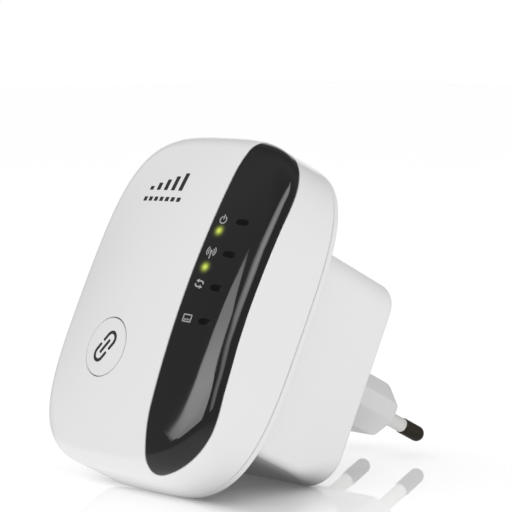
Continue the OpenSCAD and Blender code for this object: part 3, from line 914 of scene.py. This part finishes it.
def stroke(path, width, closed=False, step=0.3):
    """A line of the given width along a path, with rounded ends if open."""
    path = np.asarray(path, float)
    if closed:
        path = np.concatenate([path, path[:1]])
    points = [path[0]]
    for a, b in zip(path[:-1], path[1:]):
        pieces = max(1, int(math.ceil(np.linalg.norm(b - a) / step)))
        points += [a + (b - a) * i / pieces for i in range(1, pieces + 1)]
    points = np.array(points)
    if closed:
        points = points[:-1]
        along = unit(np.roll(points, -1, 0) - np.roll(points, 1, 0))
    else:
        along = np.zeros_like(points)
        along[1:-1] = points[2:] - points[:-2]
        along[0], along[-1] = points[1] - points[0], points[-1] - points[-2]
        along = unit(along)
    across = np.stack([-along[:, 1], along[:, 0]], 1) * (width / 2)
    if not closed:
        # two narrowing stations past each end
        head, tail = along[0] * width / 2, along[-1] * width / 2
        points = np.concatenate([[points[0] - head * 0.85, points[0] - head * 0.5], points,
                                 [points[-1] + tail * 0.5, points[-1] + tail * 0.85]])
        across = np.concatenate([[across[0] * 0.5, across[0] * 0.87], across,
                                 [across[-1] * 0.87, across[-1] * 0.5]])
    n = len(points)
    cells = [[i, n + i, n + (i + 1) % n, (i + 1) % n] for i in range(n if closed else n - 1)]
    return np.concatenate([points + across, points - across]), cells


def arc(cx, cz, r, start, end, count):
    a = np.radians(np.linspace(start, end, count))
    return np.stack([cx + r * np.cos(a), cz + r * np.sin(a)], 1)


def dot(cx, cz, r, count=28):
    points = np.concatenate([[(cx, cz)], circle(cx, cz, r / 2, count), circle(cx, cz, r, count)])
    ring = [(1 + i, 1 + (i + 1) % count) for i in range(count)]
    return points, [[0, a, b] for a, b in ring] + [[a, a + count, b + count, b] for a, b in ring]


def bar(x, z, w, h, columns=3):
    """Rectangle with its lower left corner at x, z."""
    rows = max(2, int(h / 0.5) + 1)
    points = [(x + w * i / columns, z + h * j / rows)
              for j in range(rows + 1) for i in range(columns + 1)]
    wide = columns + 1
    cells = [[j * wide + i, j * wide + i + 1, (j + 1) * wide + i + 1, (j + 1) * wide + i]
             for j in range(rows) for i in range(columns)]
    return points, cells


def window_marks(line=0.29):
    """Four marks down the window: power, radio, data and screen."""
    shapes = [stroke(arc(14.6, 19.3, 0.9, 122, 418, 30), line),
              stroke([(14.6, 19.5), (14.6, 20.6)], line)]

    mast_x, mast_top = 14.9, 11.25
    shapes.append(stroke([(mast_x, 9.5), (mast_x, 10.95)], line))
    shapes.append(dot(mast_x, mast_top, 0.33))
    for r in (0.78, 1.28):
        for start in (-50, 130):
            shapes.append(stroke(arc(mast_x, mast_top, r, start, start + 100, 12), line * 0.85))

    # two hooked arrows, each the other turned half round
    hook = [(1.05, 0.12), (0.98, 0.42), (0.75, 0.63), (0.4, 0.7), (-0.2, 0.7)]
    head = [(-1.12, 0.7), (-0.3, 1.22), (-0.3, 0.2)]
    for s in (1, -1):
        def about(points):
            return np.array([(15.0 + s * u, 3.1 + s * v) for u, v in points])
        shapes.append(stroke(about(hook), line * 1.25, step=0.2))
        shapes.append((about(head), [[0, 1, 2]]))

    frame_corners = [(13.85, -4.5), (16.1, -4.5), (16.1, -6.15), (13.85, -6.15)]
    shapes.append(stroke(frame_corners, line * 0.95, closed=True))
    for k in range(4):
        x = 14.3 + 0.45 * k
        shapes.append(stroke([(x, -5.75), (x, -5.5)], line * 0.8))
    return shapes


def badge_bars():
    """Five rising bars over a row of seven blocks."""
    rising = [bar(-15.3 + i * 2.75, 25.6, 1.35, 1.0 + i * 0.95) for i in range(5)]
    return rising + [bar(-16.0 + i * 2.12, 22.6, 1.3, 1.15) for i in range(7)]


def pair_mark(line=0.82, turn=52.0):
    """Two halves of a link and the bar between them."""
    c, s = math.cos(math.radians(turn)), math.sin(math.radians(turn))

    def turned(points):
        return [(BUTTON_X + u * c - v * s, BUTTON_Z + u * s + v * c) for u, v in points]
    shapes = [stroke(turned([(-1.75, 0), (1.75, 0)]), line)]
    open_end, centre, r = 0.75, 2.35, 1.65
    for s_ in (-1, 1):
        bend = [(s_ * (centre + r * math.sin(a)), r * math.cos(a))
                for a in (k * math.pi / 12 for k in range(1, 12))]
        half = [(s_ * open_end, r), (s_ * centre, r)] + bend
        half += [(s_ * centre, -r), (s_ * open_end, -r)]
        shapes.append(stroke(turned(half), line))
    return shapes


place(printed("window_printed_marks", window_marks()), "window", material=LIGHT_INK)
place(printed("cover_printed_badge", badge_bars()), "shell", material=DARK_INK)
place(printed("button_printed_mark", pair_mark()), "button", body="pair_button",
      material=DARK_INK)


# ---------------------------------------------------------------- lamps and lenses
def dome(name, cx, cz, rx, rz, height, power=2.0, sink=0.12, count=40, rings=7):
    """Low lens on the crown, a superellipse in outline."""
    flat, lift = [(cx, cz)], [height]
    for j in range(1, rings + 1):
        q = j / rings
        for i in range(count):
            a = 2 * math.pi * i / count
            c, s = math.cos(a), math.sin(a)
            reach = (abs(c) ** power + abs(s) ** power) ** (-1 / power)
            flat.append((cx + rx * q * c * reach, cz + rz * q * s * reach))
            lift.append(height * (1 - q * q) - 0.01)
    points, n = on_crown(np.array(flat))
    top = points + n * np.array(lift)[:, None]
    sunk = points - n * sink
    verts = np.concatenate([top, sunk[-count:], sunk[:1]])
    faces = [[0, 1 + i, 1 + (i + 1) % count] for i in range(count)]
    for j in range(rings - 1):
        for i in range(count):
            a, b = 1 + j * count + i, 1 + j * count + (i + 1) % count
            faces.append([a, a + count, b + count, b])
    rim, base = len(top) - count, len(top)
    for a in range(count):
        b = (a + 1) % count
        faces.append([rim + b, rim + a, base + a, base + b])
        faces.append([base + b, base + a, base + count])
    return soften(solid(name, verts, faces), 50, weighted=False)


for i, (x, z) in enumerate(LAMPS):
    place(dome(f"window_lamp_{i + 1}", x, z, rx=0.62, rz=0.62, height=0.06), "led")
for i, (x, z) in enumerate(LENSES):
    place(dome(f"window_lens_{i + 1}", x, z, rx=2.0, rz=0.9, height=0.05, power=2.6), "window",
          material=SMOKED_LENS)


# ---------------------------------------------------------------- plug outline
def octagon(inset):
    """The plug's outline in x and z, about its own centre."""
    a, b, k = PLUG_HALF_W - inset, PLUG_HALF_H - inset, PLUG_CORNER - 0.4 * inset
    return np.array([[a, b - k], [a - k, b], [k - a, b], [-a, b - k],
                     [-a, k - b], [k - a, -b], [a - k, -b], [a, k - b]])


def soft_octagon(inset, r=0.9, seg=4):
    """The plug's outline with softened corners."""
    corners = octagon(inset)
    points = []
    for i, corner in enumerate(corners):
        before, after = unit(corners[i - 1] - corner), unit(corners[(i + 1) % 8] - corner)
        reach = r / math.tan(math.acos(float(before @ after)) / 2)
        start, end = corner + before * reach, corner + after * reach
        for q in range(seg + 1):
            t = q / seg
            points.append((1 - t) ** 2 * start + 2 * t * (1 - t) * corner + t * t * end)
    return np.array(points)


# ---------------------------------------------------------------- rear cover
def rim_plate(angles):
    def ring(inset, y):
        return ring_y(outline(angles, inset), y)
    rings = [ring(1.1, 0.0), ring(0.95, 0.02), ring(0.9, 0.3)]
    r = 0.4
    for k in range(5):
        a = math.pi / 2 * k / 4
        rings.append(ring(RIM_INSET + r * (1 - math.sin(a)), 0.32 + r * (1 - math.cos(a))))
    for k in range(6):
        a = math.pi / 2 * k / 5
        rings.append(ring(RIM_INSET + RIM_R * (1 - math.cos(a)),
                          RIM_T - RIM_R + RIM_R * math.sin(a)))
    return loft("rear_cover_case", rings)


def rear_block():
    """Crisp long edges that round off towards the back, and a rounded rear end."""
    def falls(y, r):
        t = min(max((y - (BLOCK_END - r)) / r, 0.0), 1.0)
        return r * (1 - math.sqrt(1 - t * t))
    stations = [0.6, RIM_T + 0.4]
    stations += list(np.linspace(RIM_T + 4, BLOCK_END - BLOCK_LOW_R - 0.6, 14))
    stations += [BLOCK_END - BLOCK_LOW_R * (1 - math.sin(math.pi / 2 * k / 22))
                 for k in range(23)]
    rings = []
    for y in stations:
        inset = falls(y, 2.0)
        low_r = 2.2 + 6.0 * smoothstep(16.0, 30.0, y) - 0.6 * inset
        top_r = 7.0 - inset
        half = BLOCK_W / 2 - inset
        bottom = BLOCK_LOW_Z + falls(y, BLOCK_LOW_R)
        top = BLOCK_Z + BLOCK_H / 2 - inset
        # unit-radius corners, scaled to the top or the bottom radius
        square = rounded_rect(2 * half, 2 * half, 1.0)
        side = np.sign(square)
        corner = square - side * (half - 1.0)
        r = np.where(side[:, 1] > 0, top_r, low_r)
        x = side[:, 0] * (half - r) + corner[:, 0] * r
        z = np.where(side[:, 1] > 0, top - top_r, bottom + low_r) + corner[:, 1] * r
        rings.append(ring_y(np.stack([x, z], 1), y))
    return loft("block", rings)


def block_cavity():
    """Inside of the block, rounded at its rear end."""
    rings = [ring_y(rounded_rect(BLOCK_W - 4, BLOCK_H - 4, 5), y, BLOCK_Z)
             for y in (-4, BLOCK_END - 5.0)]
    for k in range(1, 9):
        a = math.pi / 2 * k / 8
        f = 3.0 * (1 - math.cos(a))
        rings.append(ring_y(rounded_rect(BLOCK_W - 4 - 0.6 * f, BLOCK_H - 4 - f, 5),
                            BLOCK_END - 5.0 + 3.0 * math.sin(a), BLOCK_Z + f / 2))
    return loft("cut", rings)


def wall_slot(x, z0, z1, half_w=0.7, y0=9, y1=24):
    """Round-ended slot through a top or bottom wall, its left side at x."""
    flat = []
    for start, cy in ((0, y1 - half_w), (math.pi, y0 + half_w)):
        for k in range(9):
            a = math.pi * k / 8 + start
            flat.append((x + half_w + half_w * math.cos(a), cy + half_w * math.sin(a)))
    return prism_z(np.array(flat), z0, z1)


def rear_cover():
    angles = (np.arange(240) + 0.5) * 2 * math.pi / 240
    case = rim_plate(angles)
    boolean(case, [rear_block(), prism_y(outline(angles, 2.6), -2.4, 0.5)], "UNION")
    cuts = [block_cavity(), prism_y(outline(angles, 3.7), -4, 0.0)]
    for x, z in CASE_SCREWS:
        # through hole, counterbore from behind, room for the cover's boss
        for y0, y1, r in ((-1, 5, 1.3), (0.9, 5, 2.5), (-4, 0.0, 3.2)):
            cuts.append(prism_y(circle(x, z, r), y0, y1))
    cuts.append(prism_y(octagon(-0.1), BLOCK_END - 4, BLOCK_END + 2, PLUG_Z))
    # stepped opening and a small round hole in the bottom wall
    x = 9.0
    cuts.append(box((x - 6.1, 5, -34), (x + 6.1, 12.2, -26.5)))
    cuts.append(box((x - 3.2, 2.9, -34), (x + 3.2, 6, -26.5)))
    cuts.append(prism_z(circle(-8, 4.4, 0.8), -34, -26))
    for i in range(6):
        cuts.append(wall_slot(-21 + 3 * i, -34, -26.5))
        cuts.append(wall_slot(-8.2 + 3 * i, 20, 25))
    boolean(case, cuts)
    return soften(case, 30)


place(rear_cover(), "rear", replaces=("rear_cover",))


# ---------------------------------------------------------------- plug
def plug_base():
    """Octagonal boss with a rounded face, and a flange held inside the block."""
    stations = [BLOCK_END - 2.0, BLOCK_END + 0.5]
    stations += list(np.linspace(BLOCK_END + 4, PLUG_FACE - 5.0, 5))
    rings = [ring_y(soft_octagon(0), y, PLUG_Z) for y in stations]
    nose, nose_inset = 3.4, 1.25
    for k in range(1, 11):
        a = math.pi / 2 * k / 10
        rings.append(ring_y(soft_octagon(nose_inset * (1 - math.cos(a))),
                            PLUG_FACE - nose + nose * math.sin(a), PLUG_Z))
    body = loft("plug_base_body", rings)
    flange = prism_y(soft_octagon(-2), BLOCK_END - 3.3, BLOCK_END - 2.05, PLUG_Z)
    neck = prism_y(soft_octagon(0), BLOCK_END - 2.5, BLOCK_END - 1.5, PLUG_Z)
    boolean(body, [flange, neck], "UNION")
    cuts = []
    for s in (-1, 1):
        for y0, r in ((20, 1.45), (PLUG_FACE - 3, SLEEVE_R + 0.03)):
            cuts.append(prism_y(circle(s * PIN_X, PLUG_Z, r), y0, PLUG_FACE + 1))
    boolean(body, cuts)
    return soften(body, 26)


def pin(name, x):
    """Thin tail, shank inside the sleeve, then the bare pin with a round tip."""
    profile = [(0, 23.4), (0.6, 23.4), (0.75, 23.55), (0.75, 28), (1.4, 28.6),
               (1.4, SLEEVE_END + 0.02), (1.9, SLEEVE_END + 0.02), (PIN_R, SLEEVE_END + 0.12),
               (PIN_R, PIN_TIP - PIN_R)]
    for i in range(1, 14):
        a = math.pi / 2 * i / 14
        profile.append((PIN_R * math.cos(a), PIN_TIP - PIN_R + PIN_R * math.sin(a)))
    profile.append((0, PIN_TIP))
    return lathe(name, profile, x, PLUG_Z, 72)


def sleeve(name, x):
    """Tube: up the outer wall, over the end and back down the bore."""
    count = 72
    profile = [(SLEEVE_R - 0.1, SLEEVE_ROOT), (SLEEVE_R, SLEEVE_ROOT + 0.1),
               (SLEEVE_R, SLEEVE_END - 0.12), (SLEEVE_R - 0.04, SLEEVE_END - 0.04),
               (SLEEVE_R - 0.12, SLEEVE_END), (SLEEVE_BORE, SLEEVE_END),
               (SLEEVE_BORE, SLEEVE_ROOT)]
    rings = [ring_y(circle(x, PLUG_Z, r, count), y) for r, y in profile]
    faces = ring_faces(len(rings), count)
    last = (len(rings) - 1) * count
    faces += [(last + i, last + (i + 1) % count, (i + 1) % count, i) for i in range(count)]
    return soften(solid(name, np.concatenate(rings), faces), 35, weighted=False)


place(plug_base(), "base", replaces=("plug_base",))
for side, x in (("left", -PIN_X), ("right", PIN_X)):
    place(pin(f"plug_pin_{side}_turned", x), "pin_metal", replaces=(f"plug_pin_{side}",))
    place(sleeve(f"pin_sleeve_{side}_tube", x), "sleeve", replaces=(f"pin_sleeve_{side}",))

# ---------------------------------------------------------------- materials of the CAD pieces
slot_of = {row.get("node"): row.get("material_slot")
           for row in frame["record"].get("subparts", [])}
for name, ob in frame["nodes"].items():
    paint(ob, SLOTS.get(slot_of.get(name), SLOTS["chip"]))

# ---------------------------------------------------------------- view
# The camera is set in a frame pitched about X against the shell frame.
CAM_TURN, CAM_DROP = math.radians(46.821), math.radians(5.552)
CAM_ROLL, CAM_PITCH = math.radians(-0.111), math.radians(26.591)
CAM_DISTANCE = 552.78
CAM_RIGHT, CAM_UP = 11.066795, 15.892738  # shift along the camera's own axes
CAM_LENS = 163.170703

look = np.array([-math.sin(CAM_TURN) * math.cos(CAM_DROP),
                 math.cos(CAM_TURN) * math.cos(CAM_DROP), -math.sin(CAM_DROP)])
level_right = np.array([math.cos(CAM_TURN), math.sin(CAM_TURN), 0.0])
level_up = np.cross(level_right, look)
right = level_right * math.cos(CAM_ROLL) + level_up * math.sin(CAM_ROLL)
above = -level_right * math.sin(CAM_ROLL) + level_up * math.cos(CAM_ROLL)
pitch = np.array([[1, 0, 0],
                  [0, math.cos(CAM_PITCH), -math.sin(CAM_PITCH)],
                  [0, math.sin(CAM_PITCH), math.cos(CAM_PITCH)]])
CAMERA = pitch @ (-look * CAM_DISTANCE + right * CAM_RIGHT + above * CAM_UP)
TO_CAMERA = -(pitch @ look)

# ---------------------------------------------------------------- floor
# The floor touches the lower rear edge of the rim and that of the block.
FLOOR_GAP = 0.04
rim_edge = np.array([0.0, RIM_T - RIM_R, -(HALF_H - RIM_INSET) + RIM_R])
block_edge = np.array([0.0, BLOCK_END - BLOCK_LOW_R, BLOCK_LOW_Z + BLOCK_LOW_R])
between_edges = block_edge - rim_edge
floor_tilt = (math.atan2(between_edges[2], between_edges[1])
              - math.asin((BLOCK_LOW_R - RIM_R) / float(np.linalg.norm(between_edges))))
FLOOR_UP = np.array([0, -math.sin(floor_tilt), math.cos(floor_tilt)])
floor_origin = to_world(rim_edge - FLOOR_UP * (RIM_R + FLOOR_GAP))
floor_turn = Matrix.Rotation(floor_tilt, 4, "X")


def floor_material():
    """Pale gloss, with its light tuned by kind of ray and by place.

    Distances are in metres in the floor's own axes: x across, y towards the back.
    """
    material = bpy.data.materials.new("floor_pale_gloss")
    graph = Graph(material, "OutputMaterial")
    path = graph.add("LightPath").outputs
    # brighter to the camera, darker in reflections
    tone = graph.mix_color(path["Is Camera Ray"], (0.80, 0.80, 0.80, 1), (1.24, 1.24, 1.24, 1))
    tone = graph.mix_color(path["Is Glossy Ray"], tone, (0.50, 0.50, 0.50, 1))
    matt = graph.add("BsdfDiffuse", {0: tone})
    glossy = graph.add("BsdfGlossy", {0: (1, 1, 1, 1), "Roughness": 0.03})
    facing = graph.add("LayerWeight", {"Blend": 0.5}).outputs["Facing"]
    polish = graph.ramp(facing, 0.3, 0.95, low=0.04, high=0.49, shape="LINEAR")
    geometry = graph.add("NewGeometry").outputs
    coords = graph.add("TexCoord").outputs["Object"]
    x, y, _ = graph.add("SeparateXYZ", {0: coords}).outputs

    # the light the floor sends back up: full in the open, little from the strip underneath
    beside = graph.ramp(graph.math("ABSOLUTE", x), 0.022, 0.037)
    ahead = graph.ramp(y, -0.012, 0.006, low=1.0, high=0.0)
    behind = graph.ramp(y, 0.034, 0.056)
    clear = graph.math("MAXIMUM", graph.math("MAXIMUM", beside, ahead), behind)
    strength = graph.math("ADD", graph.math("MULTIPLY", clear, 0.92), 0.10)
    bounce = graph.add("Emission", {"Strength": strength})

    # in front of the object the contact shadow is thin, so the floor there is partly self-lit
    near = graph.math("MULTIPLY", graph.ramp(y, -0.006, 0.003, low=1.0, high=0.0),
                      graph.ramp(y, -0.13, -0.05))
    near = graph.math("MULTIPLY", near, graph.ramp(graph.math("ABSOLUTE", x), 0.04, 0.11,
                                                   low=1.0, high=0.0))
    lit = graph.add("Emission", {"Strength": 1.05})
    base = graph.mix_shader(graph.math("MULTIPLY", near, 0.85), matt, lit)

    # the polish shows from the camera's side only; from elsewhere the floor is nearly matt
    thinned = graph.math("MULTIPLY", polish,
                         graph.math("SUBTRACT", 1.0, graph.math("MULTIPLY", near, 0.5)))
    view = graph.vector("DOT_PRODUCT", geometry["Incoming"], tuple(TO_CAMERA)).outputs["Value"]
    seen = graph.ramp(view, 0.88, 0.95, low=0.12, high=1.0)
    share = graph.math("MULTIPLY", thinned, graph.mix(path["Is Camera Ray"], 1.0, seen))
    shader = graph.mix_shader(share, base, glossy)

    shader = graph.mix_shader(path["Is Diffuse Ray"], shader, bounce)
    # invisible from below
    graph.finish(graph.mix_shader(geometry["Backfacing"], shader,
                                  graph.add("BsdfTransparent")))
    material.cycles.emission_sampling = "NONE"
    return material


bm = bmesh.new()
bmesh.ops.create_grid(bm, x_segments=8, y_segments=8, size=3.0)
floor_mesh = bpy.data.meshes.new("floor")
bm.to_mesh(floor_mesh)
bm.free()
floor = bpy.data.objects.new("floor", floor_mesh)
bpy.context.scene.collection.objects.link(floor)
floor.matrix_world = Matrix.Translation(Vector(floor_origin)) @ floor_turn
floor.data.materials.append(floor_material())

# ---------------------------------------------------------------- camera
camera_data = bpy.data.cameras.new("camera")
camera_data.sensor_width = 36
camera_data.lens = CAM_LENS
camera_data.clip_start, camera_data.clip_end = 0.01, 20
camera = bpy.data.objects.new("camera", camera_data)
bpy.context.scene.collection.objects.link(camera)
columns = np.column_stack([pitch @ right, pitch @ above, TO_CAMERA, to_world(CAMERA)])
camera.matrix_world = Matrix([tuple(row) for row in columns] + [(0, 0, 0, 1)])
bpy.context.scene.camera = camera


# ---------------------------------------------------------------- world
def studio_world():
    """White to the camera, a soft sky for diffuse light, a dim room for reflections."""
    world = bpy.data.worlds.new("studio")
    bpy.context.scene.world = world
    graph = Graph(world, "OutputWorld")
    path = graph.add("LightPath").outputs
    incoming = graph.add("NewGeometry").outputs["Incoming"]

    def toward(direction):
        """Cosine between the ray's heading and a direction. Incoming points back along it."""
        reverse = tuple(float(-c) for c in direction)
        return graph.vector("DOT_PRODUCT", incoming, reverse).outputs["Value"]
    away = -TO_CAMERA
    horizon = unit(away - (away @ FLOOR_UP) * FLOOR_UP)
    raised = math.radians(7)
    low_back = horizon * math.cos(raised) + FLOOR_UP * math.sin(raised)

    sky = graph.ramp(toward(FLOOR_UP), 0.0, 0.95, low=1.06, high=0.69)
    behind = graph.ramp(toward(away), 0.15, 0.65)
    narrow = graph.ramp(toward(low_back), 0.925, 0.975)  # bright patch low behind the object
    room = graph.mix(narrow, graph.mix(behind, 0.42, 0.16), 1.0)
    level = graph.mix(path["Is Glossy Ray"], sky, room)
    level = graph.mix(path["Is Camera Ray"], level, 1.0)
    graph.finish(graph.add("Background", {"Color": (1, 1, 1, 1), "Strength": level}))


studio_world()

# ---------------------------------------------------------------- lamps
middle = (Vector(cad_lo) + Vector(cad_hi)) / 2


def area_light(name, offset, power, size=0.5):
    """Square light aimed at the middle. The offset is in the floor's axes, in metres."""
    data = bpy.data.lights.new(name, "AREA")
    data.shape = "RECTANGLE"
    data.size = size
    data.size_y = size
    data.energy = power
    data.spread = math.radians(180.0)
    light = bpy.data.objects.new(name, data)
    bpy.context.scene.collection.objects.link(light)
    position = middle + floor_turn.to_3x3() @ Vector(offset)
    light.location = position
    light.rotation_euler = (middle - position).to_track_quat("-Z", "Y").to_euler()
    light.visible_camera = False
    light.visible_glossy = False


area_light("key_left_top", offset=(-0.35, -0.6, 0.6), power=0.76)
area_light("fill_right", offset=(0.7, -0.15, 0.35), power=0.45)


# ---------------------------------------------------------------- reflector cards
# Two tall cards, seen only as highlights in the polished window. Each border is drawn on
# the window from top to bottom and mirrored out to the card. Its columns are the height z
# and the distance inward from where the edge radius meets the crown, negative on the radius.
WIDE_LEFT = [
    (13.6, 2.72), (9, 3.2), (3, 3.9), (-3, 4.25), (-9, 4.4), (-15, 4.35),
    (-20, 3.95), (-25, 3.45), (-29, 2.8), (-32.5, 2.45), (-34, 1.9)]
WIDE_RIGHT = [
    (13.6, 2.68), (9.5, 2.4), (5, 2.1), (1, 1.75), (-2.5, 1.3), (-6.5, 1.2), (-10, 1.0),
    (-13.5, 0.65), (-17, 0.0), (-20, -0.85), (-24, -1.75), (-27, -2.4), (-29, -2.8)]
STREAK_LEFT = [
    (29.7, -4.45), (28, -3.45), (25, -2.15), (20.5, -0.8), (16, 0.1), (13, 0.4),
    (10, 0.7), (6, 0.8), (1, 0.9), (-2, 0.85), (-6, 0.5), (-9.5, 0.3), (-13, -0.1),
    (-16.5, -0.85), (-20, -1.45), (-22, -1.95), (-24, -2.6), (-26.2, -3.5)]
STREAK_RIGHT = [
    (29.8, -4.6), (28, -4.4), (25, -3.35), (21, -2.35), (16, -1.45), (14, -1.15),
    (10, -1.0), (6, -0.85), (1.7, -0.75), (-2, -0.7), (-6, -0.75), (-9, -0.8),
    (-12.5, -1.25), (-16, -1.8), (-19.5, -2.3), (-21.6, -2.8), (-23.6, -3.25), (-26, -3.9)]
CARD_DISTANCE = 2500.0


def spread_over(values, count):
    """Values at even steps, resampled to count."""
    return np.interp(np.linspace(0, 1, count), np.linspace(0, 1, len(values)), values)


def card_border(border, rows):
    heights, insets = zip(*border)
    z = spread_over(heights, rows)
    return z, smooth_knots(heights[::-1], insets[::-1], z)


def card_material(name):
    """Glows by the level attribute, but only for the reflection it was mirrored from."""
    material = bpy.data.materials.new(name + "_light")
    graph = Graph(material, "OutputMaterial")
    level = graph.add("Attribute", attribute_name="level").outputs["Fac"]
    emission = graph.add("Emission", {"Strength": level})
    mirror = graph.add("Attribute", attribute_name="mirror").outputs["Vector"]
    geometry = graph.add("NewGeometry").outputs
    length = graph.add("LightPath").outputs["Ray Length"]
    back = graph.add("VectorMath", operation="SCALE")
    graph.feed(back.inputs[0], geometry["Incoming"])
    graph.feed(back.inputs["Scale"], length)
    start = graph.vector("ADD", geometry["Position"], back)
    gap = graph.vector("DISTANCE", start, mirror).outputs["Value"]
    match = graph.ramp(gap, 0.005, 0.012, low=1.0, high=0.0)
    graph.finish(graph.mix_shader(match, graph.add("BsdfTransparent"), emission))
    material.cycles.emission_sampling = "NONE"
    return material


def card(name, left, right, rows, cols, level, across=(1.0, 1.0), bulge=0.0):
    """level is the brightness from top to bottom, across its share from left to right;
    bulge lowers the middle of the bottom end."""
    angles = np.linspace(-1.45, 1.45, 500)
    seam, outward, inset, _, _ = skin_columns(angles)
    rim_z = seam[:, 1] - outward[:, 1] * inset
    left_z, left_in = card_border(left, rows)
    right_z, right_in = card_border(right, rows)
    w = np.linspace(0, 1, cols)
    points, normals = [], []
    for i in range(rows):
        z = left_z[i] * (1 - w) + right_z[i] * w - bulge * 4 * w * (1 - w) * (i / (rows - 1)) ** 6
        inward = left_in[i] * (1 - w) + right_in[i] * w
        seam, outward, inset, arc_end, arc_y = skin_columns(np.interp(z, rim_z, angles))
        t = arc_end + np.minimum(inward, 0) / EDGE_R
        arc_flat = seam - outward * (DRAFT + EDGE_R - EDGE_R * np.cos(t))[:, None]
        arc_points = ring_y(arc_flat, arc_y - EDGE_R * np.sin(t))
        arc_normals = ring_y(outward * np.cos(t)[:, None], -np.sin(t))
        flat = seam - outward * (inset + np.maximum(inward, 0))[:, None]
        crown_points, crown_normals = on_crown(flat)
        on_top = (inward >= 0)[:, None]
        points.append(np.where(on_top, crown_points, arc_points))
        normals.append(np.where(on_top, crown_normals, arc_normals))
    points = np.concatenate(points)
    n = window_normals(points, np.concatenate(normals))
    view = unit(points - CAMERA)
    reflected = view - 2 * (view * n).sum(1)[:, None] * n
    faces = [(a, a + 1, a + cols + 1, a + cols)
             for i in range(rows - 1) for a in range(i * cols, (i + 1) * cols - 1)]
    ob = mesh_object(name, points + reflected * CARD_DISTANCE, faces, smooth=False)
    levels = np.outer(spread_over(level, rows), spread_over(across, cols))
    attribute = ob.data.attributes.new("level", "FLOAT", "POINT")
    attribute.data.foreach_set("value", levels.ravel().astype(np.float32))
    attribute = ob.data.attributes.new("mirror", "FLOAT_VECTOR", "POINT")
    attribute.data.foreach_set("vector", to_world(points).astype(np.float32).ravel())
    ob.data.materials.append(card_material(name))
    for kind in ("camera", "diffuse", "transmission", "shadow", "volume_scatter"):
        setattr(ob, "visible_" + kind, False)


card("card_wide", WIDE_LEFT, WIDE_RIGHT, rows=60, cols=12,
     level=[3.0, 3.5, 3.9, 4.9, 5.3, 4.7, 3.0], bulge=1.0)
card("card_streak", STREAK_LEFT, STREAK_RIGHT, rows=80, cols=11,
     level=[3.5, 4.0, 4.1, 3.8, 3.4, 2.7, 2.3, 2.2, 1.8],
     across=(0.5, 0.75, 1.2, 1.3, 1.05, 0.6))

# ---------------------------------------------------------------- output
view_settings = bpy.context.scene.view_settings
view_settings.view_transform = "Standard"
view_settings.look = "None"
view_settings.exposure = 0.0
view_settings.gamma = 1.0
